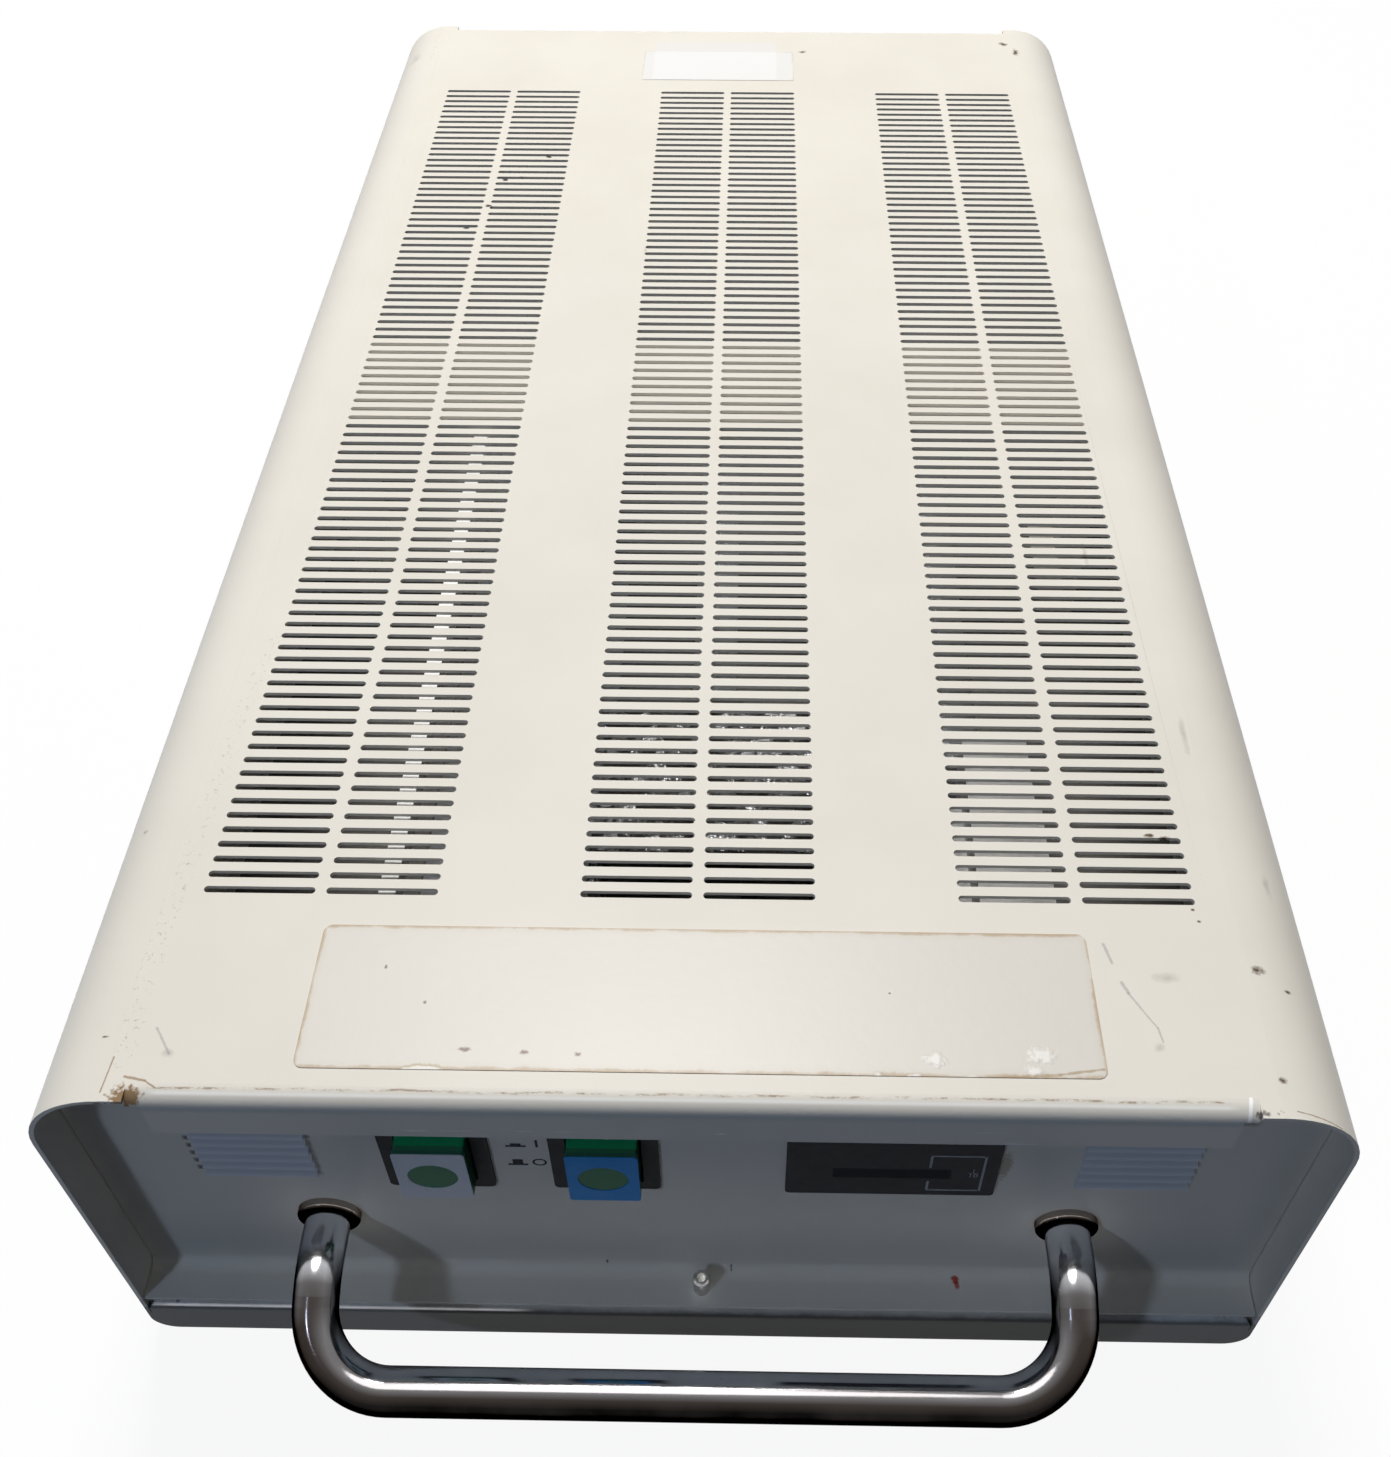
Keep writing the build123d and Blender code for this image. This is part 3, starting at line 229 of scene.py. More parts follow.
# Marks of the cover: places on the roof as (x, y), then half sizes; strokes have their two ends and
# a width; chips have a place, half sizes and a colour, and the last chip is painted shade at the right
# notch; rubs have (x, z), half sizes and an amount, and their white is worn paint with painted glints.
CRUMBS = [(-95.1, 217.4), (-106.7, 195.3), (-115.4, 193.1), (-121.1, 166.9), (-129.6, 145.7)]
BROWN_SPOTS = [(174.8, -279.8, 2.5, 1.7), (183.3, -286.1, 1.6, 0.7), (150.2, -228.7, 2.2, 1.0),
               (155.0, -229.9, 2.4, 1.0), (163.7, 355.3, 2.6, 3.2), (170.3, 344.8, 2.2, 4.4),
               (43.2, 343.2, 3.2, 1.4), (-188.3, -229.4, 1.8, 2.2), (155.1, -200.9, 1.6, 1.0),
               (173.6, -316.9, 1.7, 1.3), (158.9, -258.0, 0.8, 0.6), (160.0, -262.4, 0.7, 0.5),
               (-176.1, -308.0, 1.4, 0.5)]
SMUDGES = [(-188.2, 340.2, 5.0, 9.0), (169.8, -184.9, 1.4, 9.0), (186.1, -246.3, 1.6, 7.0),
           (148.4, -92.2, 1.2, 8.0), (-37.9, 126.5, 1.0, 5.0), (139.4, -307.0, 2.4, 1.9),
           (-155.7, -313.0, 2.2, 1.6), (146.0, -283.0, 5.0, 2.0)]
GREY_STROKES = [((128.2, -271.3), (129.9, -278.0), 0.7), ((131.8, -285.0), (133.2, -288.5), 0.8),
                ((133.2, -288.5), (136.7, -294.6), 0.5), ((137.0, -295.2), (140.2, -300.4), 0.4),
                ((140.2, -300.4), (141.0, -305.0), 0.45), ((-161.5, -305.0), (-155.5, -313.5), 0.5)]
BROWN_STROKES = [((-171.6, -314.8), (-172.4, -326.0), 0.35), ((-166.6, -321.0), (-160.4, -322.2), 0.6),
                 ((-160.4, -322.2), (-157.0, -324.2), 0.35), ((176.0, -326.5), (190.0, -328.5), 0.3)]
WORN_TRAIL = [(-162.0, -143.0), (-166.0, -182.6), (-166.8, -214.2), (-168.0, -250.0), (-169.7, -285.0),
              (-168.6, -316.0)]
CORNER_CHIPS_AND_NOTCH_SHADE = [((-165.5, -327.0, 171.5), (5.5, 4.0, 3.5), (0.26, 0.17, 0.09)),
                ((-169.5, -327.5, 170.0), (2.6, 3.0, 2.2), (0.05, 0.04, 0.03)),
                ((-172.5, -327.6, 170.6), (2.6, 2.4, 1.6), (0.22, 0.15, 0.08)),
                ((166.6, -327.2, 171.6), (2.6, 1.6, 2.0), (0.20, 0.18, 0.16)),
                ((170.8, -327.0, 171.4), (2.2, 1.3, 1.8), (0.16, 0.11, 0.07)),
                # The last chip, dark on the flange below the bend at the right notch, is painted shade of
                # the notch's opening.
                ((163.5, -327.5, 163.5), (2.4, 4.0, 3.0), (0.10, 0.09, 0.08))]
FLANGE_RUBS_AND_GLINTS = [(-82.0, 157.6, 7.0, 0.7, 0.7), (-70.0, 157.9, 6.0, 0.5, 0.6), (-49.5, 158.1, 3.5, 0.5, 0.6),
               (-37.0, 158.3, 5.5, 0.4, 0.45), (9.0, 158.4, 3.0, 0.6, 0.7), (87.0, 161.5, 8.0, 0.4, 0.4),
               (98.0, 154.8, 6.0, 0.6, 0.7)]


def roof_stains(s):
    """Crumbs, brown spots, smudges and fine scratches on the roof."""
    for x, y in CRUMBS:
        s.paint(s.ball((x, y, TOP), (1.9, 1.7, 3), 0.5, 0.8, 700.0), (0.03, 0.028, 0.025))
    for x, y, a, b in BROWN_SPOTS:
        s.paint(s.ball((x, y, TOP), (a, b, 6), 0.7, 0.9, 500.0), (0.12, 0.085, 0.055))
    for x, y, a, b in SMUDGES:
        s.paint(s.times(s.ball((x, y, TOP), (a, b, 9), 0.9, 0.7, 220.0), 0.45), (0.32, 0.27, 0.23))
    for start, end, width in GREY_STROKES:
        s.paint(s.times(s.stroke(start, end, width), 0.55), (0.34, 0.31, 0.32))
    for start, end, width in BROWN_STROKES:
        s.paint(s.times(s.stroke(start, end, width), 0.8), (0.30, 0.20, 0.11))


def worn_edges(s):
    """Grit along the roof's left edge and a rusty streak at its back; returns the grit's amount."""
    grit = s.span(s.noise(520.0, 4.0, 0.8), 0.58, 0.66)
    trail = None
    for start, end in zip(WORN_TRAIL, WORN_TRAIL[1:]):
        leg = s.stroke(start, end, 4.0, 0.6, 0.4, 220.0)
        trail = leg if trail is None else s.math("MAXIMUM", trail, leg)
    trail = s.times(trail, grit)
    s.paint(s.times(trail, 0.7), (0.34, 0.27, 0.19))
    streak = s.times(s.band("X", -177, -174, 1.5), s.band("Y", 325, 372, 5))
    s.paint(s.times(grit, streak, 0.8), (0.30, 0.22, 0.14))
    return trail


def front_bend(s):
    """Broken brown line and a painted highlight along the roof's front bend."""
    dash = s.span(s.noise(230.0, 6.0, 0.8, (1.0, 3.0, 1.0)), 0.47, 0.57)
    wave = s.times(s.math("SUBTRACT", s.noise(60.0, 3.0), 0.5), 1.6 * MM)
    away = s.math("ADD", s.math("SUBTRACT", s.axis("Y"), DASH_Y * MM), wave)
    line = s.span(s.math("ABSOLUTE", away), 0.50 * MM, 0.12 * MM)
    line = s.times(line, s.band("X", -158, 156, 2), s.band("Z", 160, 175, 1))
    s.paint(s.times(dash, line, 0.85), (0.30, 0.21, 0.13))
    # Painted highlight: a bright line along the top of the front bend.
    painted_highlight = s.times(s.band("Y", -326.0, -325.3, 0.4), s.band("Z", 166, 175, 1))
    painted_highlight = s.times(painted_highlight, s.band("X", -158, 158, 2))
    s.paint(s.times(painted_highlight, 0.75), (0.97, 0.96, 0.93))


def cover_paint():
    """Cream enamel with the photographed crumbs, stains, scratches and chipped front corners, painted shade
    at the right notch, a painted highlight along the front bend, and white flange rubs that are worn paint
    with painted glints.
    """
    s = cream_paint("cover_paint")
    roof_stains(s)
    trail = worn_edges(s)
    front_bend(s)
    # Chipped corners, and painted shade at the right notch.
    for place, size, colour in CORNER_CHIPS_AND_NOTCH_SHADE:
        s.paint(s.ball(place, size, 0.35, 0.9, 600.0), colour)
    s.paint(s.stroke((163.2, -323.0), (162.2, -329.5), 0.7, 0.5, 0.3), (0.97, 0.96, 0.94))
    # White rubs on the flange: worn paint, with painted glints on the scratches.
    scuffs_and_glints = s.span(s.noise(900.0, 4.0, 0.7, (0.5, 1.0, 1.6)), 0.40, 0.52)
    for x, z, a, c, amount in FLANGE_RUBS_AND_GLINTS:
        rub = s.times(s.ball((x, FRONT, z), (a, 1.0, c), 0.6, 1.2, 420.0), scuffs_and_glints)
        s.paint(s.times(rub, amount), (1.0, 1.0, 1.0))
    s.roughen(trail, 0.8)
    return s.finish(bump=0.25, distance=0.0003, Specular_IOR_Level=0.06)


def base_paint():
    """Lower pan: painted shade on its front lip, a rubbed bend, brown blotches darker towards the bottom,
    and painted shade at the lip's corners.
    """
    s = cream_paint("base_paint")
    # Painted shade: the lip's front face is painted dark.
    front = s.times(s.band("Z", -5, LIP_TOP + 0.2, 0.6), s.band("Y", FRONT - 3, FRONT + 2.5, 0.4))
    s.paint(s.times(front, 0.78), (0.14, 0.13, 0.12))
    lip = s.times(s.band("Z", LIP_TOP - 0.4, 21, 0.4), s.band("Y", FRONT - 2, FRONT + 3, 0.5))
    rubbed = s.span(s.noise(120.0, 5.0, 0.7, (1.0, 1.0, 3.0)), 0.42, 0.58)
    s.paint(s.times(rubbed, lip, 0.3), (0.88, 0.87, 0.84))
    bend = s.times(s.band("Z", LIP_TOP - 0.3, LIP_TOP + 0.3, 0.25),
                   s.band("Y", FRONT - 1, FRONT + 1.6, 0.3), s.band("X", -196, -64, 6))
    s.bare(s.times(bend, 0.55), (0.55, 0.58, 0.66))
    # Darker towards the bottom, in brown blotches.
    low = s.span(s.axis("Z"), 6 * MM, 0.0, 0.0, 0.5)
    s.paint(s.times(low, s.span(s.noise(80.0, 5.0), 0.45, 0.65)), (0.28, 0.24, 0.19))
    # Painted shade: dark patches at the lip's corners, where the gaps to the cover's sides are.
    for x in (-190.0, 190.0):
        s.paint(s.ball((x, FRONT, 22), (5, 5, 3), 0.5, 0.9, 500.0), (0.14, 0.12, 0.10))
    return s.finish(bump=0.25, distance=0.0003, Specular_IOR_Level=0.02)


STRIP_BROWN, RED, BLACK = (0.30, 0.24, 0.15), (0.45, 0.03, 0.01), (0.03, 0.03, 0.03)
# The first speck is a brown strip just right of the meter.
PANEL_SPECKS = [((100.5, FACE, 110), (2.6, 2, 11), STRIP_BROWN, 0.7),
                ((92.3, FRONT + 11.5, 25.5), (1.7, 1.7, 3.5), RED, 0.9),
                ((93.0, FRONT + 9.5, 25.5), (1.0, 1.6, 2.5), RED, 0.8),
                ((-33.0, FACE, 30), (0.6, 2, 1.4), BLACK, 0.9),
                ((11.7, FACE, 27.5), (0.5, 2, 1.8), BLACK, 0.9)]


def panel_paint():
    """The same enamel on the recessed panels, with a brown strip right of the meter, specks, and louvres: a
    painted highlight on their noses, painted bluish shade on their hoods and painted black shade at the
    left ends of the left group.
    """
    s = cream_paint("panel_paint")
    for place, size, colour, amount in PANEL_SPECKS:
        s.paint(s.times(s.ball(place, size, 0.5, 0.7, 600.0), amount), colour)
    step = s.math("DIVIDE", s.math("SUBTRACT", s.axis("Z"), LOUVRE_LOW * MM), LOUVRE_STEP * MM)
    step = s.math("FRACT", step)
    group = s.times(s.band("Z", 97, 134, 0.5), s.band("Y", FACE - 2.6, FACE + 0.5, 0.1))
    # Painted highlight: the louvres' noses get a pale bluish line.
    nose = s.times(s.band("Y", FACE - 2.6, FACE - 1.5, 0.15), group)
    s.paint(s.times(nose, 0.45), (0.72, 0.76, 0.88))
    # Painted bluish shade on the louvres' hoods.
    hood = s.times(s.band("Y", FACE - 1.5, FACE - 0.2, 0.15), group)
    s.paint(s.times(hood, 0.6), (0.58, 0.59, 0.66))
    # Painted shade: black marks at the left ends of the left louvres.
    ends = s.times(s.span(step, 0.15, 0.25), s.span(step, 0.85, 0.6))
    left = s.times(s.band("X", -164.2, -161.8, 0.5), ends)
    s.paint(s.times(s.times(left, group), 0.9), BLACK)
    return s.finish(bump=0.2, distance=0.0003, Specular_IOR_Level=0.03)


def paper(name, colour, box, dirt, size=(1.2, 3.0)):
    """Sticker film with a torn, dirty border; box is its low and high corner in X and Y."""
    s = Surface(name, colour, 0.38)
    cx, cy = (box[0] + box[2]) / 2 * MM, (box[1] + box[3]) / 2 * MM
    hx, hy = (box[2] - box[0]) / 2 * MM, (box[3] - box[1]) / 2 * MM
    wobble = s.times(s.math("SUBTRACT", s.noise(70.0, 5.0, 0.7), 0.5), 0.004)
    dx = s.math("SUBTRACT", hx, s.math("ABSOLUTE", s.math("SUBTRACT", s.axis("X"), cx)))
    dy = s.math("SUBTRACT", hy, s.math("ABSOLUTE", s.math("SUBTRACT", s.axis("Y"), cy)))
    inside = s.math("ADD", s.math("MINIMUM", dx, dy), wobble)
    rim = s.span(inside, size[0] * MM, 0.2 * MM)
    s.paint(s.times(rim, dirt), (0.36, 0.25, 0.14))
    haze = s.span(inside, size[1] * MM, 0.0)
    s.paint(s.times(haze, dirt * 0.3), (0.52, 0.44, 0.33))
    cloud = s.span(s.noise(22.0, 4.0), 0.4, 0.75)
    s.paint(s.times(cloud, 0.10), (0.50, 0.45, 0.36))
    s.raise_by(s.noise(260.0, 3.0), 0.3)
    return s


# Marks of the front label, on the roof as (x, y): tears along its border, the bite in its lower
# edge, lifted blisters and specks.
LABEL_TEARS = [((-108.8, -318.9), (-86.5, -318.2), 0.7), ((-72.0, -318.6), (-50.3, -318.9), 0.8),
               ((-50.3, -319.0), (-0.3, -319.2), 0.6), ((52.6, -318.6), (81.1, -318.5), 0.8),
               ((81.1, -318.5), (108.6, -316.4), 0.8), ((108.6, -316.4), (121.8, -314.4), 0.6),
               ((-119.0, -268.0), (-119.6, -280.8), 0.4), ((-119.6, -280.8), (-117.8, -308.4), 0.3)]
LABEL_BITE = (-79.4, -319.0, TOP)
LABEL_BLISTERS = [(55.4, -317.0, 1.6, 1.4), (72.2, -312.0, 3.6, 2.6), (66.0, -317.2, 3.0, 1.0),
                  (101.2, -315.2, 3.0, 2.0), (83.6, -317.6, 4.0, 1.0), (104.0, -310.0, 5.0, 3.0)]

LABEL_SPECKS = [(-82.1, -295.2, 0.8, 0.8), (-67.8, -310.8, 2.4, 1.0), (-49.8, -311.5, 1.6, 0.9),
                (-33.9, -311.9, 1.2, 1.0), (-96, -283, 0.6, 0.8), (60, -290, 0.5, 0.5)]


def label_film():
    """Blank front label, dirty and torn along its lower edge."""
    s = paper("label_film", (0.62, 0.59, 0.53), (-118.1, FRONT + 11.5, 122.9, FRONT + 61), 0.85)
    for x, y, a, b in LABEL_SPECKS:
        s.paint(s.ball((x, y, TOP), (a, b, 2), 0.6, 0.9, 900.0), (0.20, 0.15, 0.11))
    for start, end, width in LABEL_TEARS:
        s.paint(s.times(s.stroke(start, end, width, 0.8, 0.8, 500.0), 0.75), (0.33, 0.23, 0.12))
    s.paint(s.ball(LABEL_BITE, (9.5, 3.8, 2), 0.25, 0.5, 260.0), (0.36, 0.27, 0.15))
    s.paint(s.ball(LABEL_BITE, (8.6, 3.0, 2), 0.2, 0.5, 260.0), (0.70, 0.67, 0.60))
    for x, y, a, b in LABEL_BLISTERS:
        peel = s.ball((x, y, TOP), (a, b, 2), 0.6, 0.9, 420.0)
        s.paint(s.times(peel, 0.6), (0.84, 0.82, 0.78))
        s.raise_by(peel, 1.5)
    return s.finish(bump=0.35, distance=0.0005, Specular_IOR_Level=0.25)


def tag_paper():
    """Blank tag at the back, with a paler field on it."""
    s = paper("tag_paper", (0.71, 0.70, 0.68), (-50, REAR - 67.5, 38, REAR - 31.5), 0.25, (0.8, 1.5))
    s.paint(s.times(s.band("X", -44, 28, 0.3), 0.5), (0.77, 0.77, 0.76))
    return s.finish(bump=0.15, distance=0.0003)


def plain(name, colour, roughness, metallic=0.0, tone=0.15, scale=40.0, grain=700.0, stretch=(1, 1, 1),
          bump=0.2, **sockets):
    """A surface with cloudy tone, uneven gloss and a fine skin."""
    s = Surface(name, colour, roughness, metallic)
    cloud = s.span(s.noise(scale, 4.0, 0.6, stretch), 0.35, 0.7)
    s.paint(s.times(cloud, tone), tuple(c * 0.45 for c in colour))
    s.roughen(s.times(s.span(s.noise(scale * 3, 4.0, 0.6, stretch), 0.4, 0.75), 0.6),
              min(1.0, roughness + 0.18))
    s.raise_by(s.noise(grain, 3.0, 0.6, stretch), 0.5)
    return s.finish(bump=bump, distance=0.0002, **sockets)


def chrome():
    """Plated tube: bright near the panel and where it faces back; away from the panel its front, lower and
    outer sides are painted darker as a painted dark reflection; with fine wipe marks along it and a few
    dull pits.
    """
    s = Surface("handle_chrome", (0.88, 0.90, 0.95), 0.13, 1.0)
    ahead = s.normal("Y")
    aside = s.math("ABSOLUTE", s.normal("X"))
    outer = s.span(s.axis("Y"), (FACE - 14) * MM, (FACE - 26) * MM)
    s.paint(s.span(s.axis("Y"), (FACE - 3.6) * MM, (FACE - 3.2) * MM), (0.42, 0.37, 0.33))
    # Painted dark reflection: away from the panel the tube is painted darker where it faces front, down and
    # to the sides.
    s.paint(s.times(s.span(ahead, 0.14, -0.02), outer), (0.17, 0.165, 0.17))
    s.paint(s.span(ahead, -0.28, -0.52), (0.040, 0.032, 0.028))
    s.paint(s.span(ahead, -0.54, -0.80), (0.003, 0.003, 0.003))
    s.paint(s.times(s.span(aside, 0.5, 0.95), outer), (0.010, 0.010, 0.012))
    wipe = s.span(s.noise(900.0, 4.0, 0.7, (0.06, 1.0, 1.0)), 0.5, 0.72)
    s.roughen(s.times(wipe, 0.7), 0.24)
    pits = s.span(s.noise(1500.0, 2.0, 0.6), 0.70, 0.74)
    s.paint(s.times(pits, 0.6), (0.05, 0.04, 0.035))
    s.paint(s.times(s.span(s.noise(30.0, 3.0), 0.4, 0.7), 0.2), (0.08, 0.07, 0.065))
    s.raise_by(wipe, 0.25)
    return s.finish(bump=0.06, distance=0.0001, Specular_Tint=(0.06, 0.06, 0.06, 1.0))


def foil():
    """Crumpled bright sheet over the middle ballast."""
    s = Surface("foil_sheet", (0.62, 0.63, 0.64), 0.22, 1.0)
    crease = s.add("ShaderNodeTexVoronoi", {"Vector": s.place, "Scale": 95.0}, feature="F1").outputs[0]
    s.raise_by(crease, 3.0)
    s.raise_by(s.noise(160.0, 4.0), 1.2)
    s.paint(s.times(s.span(s.noise(50.0), 0.4, 0.7), 0.4), (0.30, 0.30, 0.31))
    return s.finish(bump=1.0, distance=0.004)


def ballast_case():
    """Black lacquered cases; the right one wears a pale dusty sheet on its top."""
    s = Surface("ballast_case", (0.035, 0.034, 0.032), 0.5)
    s.paint(s.times(s.span(s.noise(80.0, 4.0), 0.35, 0.7), 0.3), (0.015, 0.015, 0.014))
    top = s.times(s.span(s.axis("X"), 0.060, 0.061), s.span(s.axis("Z"), 0.0615, 0.0625))
    s.paint(top, (0.86, 0.86, 0.85))
    s.paint(s.times(s.span(s.noise(45.0, 5.0), 0.45, 0.65), top, 0.3), (0.42, 0.41, 0.38))
    s.raise_by(s.noise(400.0, 3.0), 0.5)
    return s.finish(bump=0.4, distance=0.0002)


def reflector_sheet():
    """Bright on the lamps' side; on top it carries dust and the grey back of the sheet."""
    s = Surface("reflector_sheet", (0.80, 0.81, 0.82), 0.28, 1.0)
    back = s.span(s.axis("Z"), 0.0586, 0.0594)
    s.paint(back, (0.16, 0.16, 0.155))
    s.roughen(back, 0.75)
    dust = s.times(s.span(s.noise(30.0, 5.0), 0.45, 0.7), back)
    s.paint(s.times(dust, 0.5), (0.24, 0.22, 0.19))
    s.raise_by(s.noise(300.0, 3.0, 0.5, (1, 0.2, 1)), 0.4)
    return s.finish(bump=0.1, distance=0.0002)


def lamp_glass(name, colour):
    """Phosphor-coated tube, a little darker at its ends, with grey metal caps."""
    s = Surface(name, colour, 0.16)
    far = s.math("ABSOLUTE", s.math("SUBTRACT", s.axis("Y"), MIDDLE * MM))
    s.paint(s.times(s.span(far, (TUBE_END - 28) * MM, TUBE_END * MM), 0.6),
            tuple(c * 0.55 for c in colour))
    s.paint(s.times(s.span(s.noise(18.0, 4.0), 0.4, 0.7), 0.12), tuple(c * 0.6 for c in colour))
    cap = s.span(far, (TUBE_END - 0.2) * MM, (TUBE_END + 0.1) * MM)
    s.paint(cap, (0.55, 0.55, 0.54))
    s.roughen(cap, 0.35)
    s.raise_by(s.noise(500.0, 3.0), 0.3)
    return s.finish(bump=0.05, distance=0.0001, Coat_Weight=0.6, Coat_Roughness=0.05)


def clear_pane():
    """Clear plastic pane under the tubes, a little dusty and scratched."""
    s = Surface("clear_pane", (0.90, 0.93, 0.93), 0.06)
    s.roughen(s.span(s.noise(30.0, 5.0, 0.7), 0.5, 0.75), 0.35)
    s.paint(s.times(s.span(s.noise(12.0, 5.0), 0.45, 0.7), 0.2), (0.80, 0.80, 0.76))
    s.raise_by(s.noise(700.0, 2.0), 0.2)
    return s.finish(bump=0.05, distance=0.0001, Transmission_Weight=1.0, IOR=1.49)


def window_glass():
    """Smoked window of the hour meter."""
    s = Surface("meter_glass", (0.05, 0.052, 0.058), 0.28)
    s.roughen(s.span(s.noise(90.0, 5.0, 0.7), 0.5, 0.75), 0.4)
    s.paint(s.times(s.span(s.noise(60.0, 4.0), 0.4, 0.7), 0.3), (0.03, 0.03, 0.033))
    s.raise_by(s.noise(500.0, 2.0), 0.2)
    return s.finish(bump=0.05, distance=0.0001, Transmission_Weight=0.45, IOR=1.05, Specular_IOR_Level=0.0)


def key_plastic(name, colour, rubbed):
    """Moulded key face with paler and darker patches; the sides of its plate show the green cap in a darker
    green, painted shade.
    """
    s = Surface(name, colour, 0.24)
    s.paint(s.times(s.span(s.noise(130.0, 4.0), 0.45, 0.7), 0.22), rubbed)
    s.paint(s.times(s.span(s.noise(300.0, 5.0, 0.8), 0.64, 0.70), 0.5),
            tuple(c * 0.55 for c in colour))
    # The green cap's colour on the plate's sides, darkened as painted shade.
    s.paint(s.span(s.axis("Y"), (FACE - 7.3) * MM, (FACE - 7.15) * MM), (0.045, 0.17, 0.10))
    s.raise_by(s.noise(900.0, 2.0), 0.4)
    return s.finish(bump=0.1, distance=0.0001, Specular_IOR_Level=0.015)


def green_lens():
    """Clear green cap: vivid on top, with painted shade making it dark at its front, its sides and towards
    the panel.
    """
    s = Surface("green_lens", (0.02, 0.42, 0.15), 0.14)
    # Painted shade: the cap's front, the part towards the panel and its sides are painted darker green.
    deep = s.span(s.axis("Y"), (FACE - 4.3) * MM, (FACE - 4.6) * MM)
    s.paint(s.times(deep, 0.9), (0.05, 0.20, 0.10))
    back = s.span(s.axis("Y"), (FACE - 1.5) * MM, (FACE + 1.0) * MM)
    s.paint(back, (0.006, 0.04, 0.02))
    side = s.span(s.math("ABSOLUTE", s.normal("X")), 0.4, 0.8)
    s.paint(s.times(side, 0.92), (0.012, 0.035, 0.025))
    s.paint(s.times(s.span(s.noise(200.0, 4.0), 0.4, 0.7), 0.25), (0.02, 0.30, 0.12))
    s.raise_by(s.noise(700.0, 2.0), 0.3)
    return s.finish(bump=0.08, distance=0.0001, Specular_IOR_Level=0.015)


def make_materials():
    """One material for each slot of the record."""
    return {
        "cover_paint": cover_paint(),
        "base_paint": base_paint(),
        "panel_paint": panel_paint(),
        "zinc_sheet": plain("zinc_sheet", (0.50, 0.51, 0.52), 0.45, 0.9, 0.35, 60.0, 500.0),
        "reflector_sheet": reflector_sheet(),
        "foil_sheet": foil(),
        "white_holder": plain("white_holder", (0.74, 0.73, 0.70), 0.3, 0.0, 0.12),
        "clear_pane": clear_pane(),
        "screw_steel": plain("screw_steel", (0.48, 0.48, 0.47), 0.3, 1.0, 0.4, 300.0, 1500.0),
        "plated_stud": plain("plated_stud", (0.62, 0.62, 0.60), 0.2, 1.0, 0.5, 380.0, 1500.0, bump=0.5),
        "ballast_case": ballast_case(),
        "lead_sleeve": plain("lead_sleeve", (0.55, 0.54, 0.50), 0.7, 0.0, 0.3, 200.0, 1200.0, bump=0.6),
        "black_rubber": plain("black_rubber", (0.025, 0.025, 0.025), 0.6),
        "white_duct": plain("white_duct", (0.88, 0.88, 0.87), 0.45),
        "cream_block": plain("cream_block", (0.55, 0.49, 0.38), 0.5),
        "handle_chrome": chrome(),
        "black_plastic": plain("black_plastic", (0.022, 0.024, 0.028), 0.4, 0.0, 0.3, 90.0, 900.0, bump=0.3,
                               Specular_IOR_Level=0.015),
        "green_lens": green_lens(),
        "white_key": key_plastic("white_key", (0.80, 0.79, 0.80), (0.84, 0.84, 0.86)),
        "blue_key": key_plastic("blue_key", (0.03, 0.30, 0.72), (0.08, 0.36, 0.76)),
        "meter_glass": window_glass(),
        "brass_blade": plain("brass_blade", (0.55, 0.40, 0.17), 0.3, 1.0, 0.3, 300.0),
        "label_film": label_film(),
        "tag_paper": tag_paper(),
        "white_lamp": lamp_glass("white_lamp", (0.82, 0.82, 0.79)),
        "blue_lamp": lamp_glass("blue_lamp", (0.62, 0.70, 0.84)),
        "tenth_drum": plain("tenth_drum", (0.40, 0.05, 0.03), 0.5),
        "hour_drum": plain("hour_drum", (0.02, 0.02, 0.02), 0.5),
    }


def dress_nodes(materials):
    """Give each node the material of its slot."""
    for part in frame["record"]["subparts"]:
        obj = nodes[part["node"]]
        obj.data.materials.clear()
        obj.data.materials.append(materials[part["material_slot"]])


# Printed marks, as thin pieces on the surfaces

def piece(name, mesh, material, body):
    """Put a mesh into the scene, on a body and in a slot."""
    obj = bpy.data.objects.new(name, mesh)
    bpy.context.scene.collection.objects.link(obj)
    mesh.materials.clear()
    mesh.materials.append(material)
    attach(obj, body)
    return obj


def add_slab(bm, points, y, thick):
    """Thin slab from (x, z) points in millimetres, standing out towards -Y from the place y."""
    front = [bm.verts.new(Vector((x, y - thick, z)) * MM) for x, z in points]
    back = [bm.verts.new(Vector((x, y, z)) * MM) for x, z in points]
    bm.faces.new(front)
    bm.faces.new(list(reversed(back)))
    for i in range(len(points)):
        j = (i + 1) % len(points)
        bm.faces.new((front[j], front[i], back[i], back[j]))


def add_ring(bm, centre, outer, inner, y, thick, steps=40):
    """Thin ring in the (x, z) plane, made of short slabs."""
    for i in range(steps):
        a, b = 2 * math.pi * i / steps, 2 * math.pi * (i + 1) / steps
        points = [(centre[0] + r * math.cos(t), centre[1] + r * math.sin(t))
                  for r, t in ((inner, a), (outer, a), (outer, b), (inner, b))]
        add_slab(bm, points, y, thick)


def box_points(x, z, width, tall):
    """Corners of an upright box round its middle, as (x, z)."""
    return [(x - width / 2, z - tall / 2), (x + width / 2, z - tall / 2),
            (x + width / 2, z + tall / 2), (x - width / 2, z + tall / 2)]


def build(name, fill, material, body):
    """Piece whose mesh is filled in by a function."""
    bm = bmesh.new()
    fill(bm)
    bmesh.ops.recalc_face_normals(bm, faces=bm.faces)
    mesh = bpy.data.meshes.new(name)
    bm.to_mesh(mesh)
    bm.free()
    return piece(name, mesh, material, body)


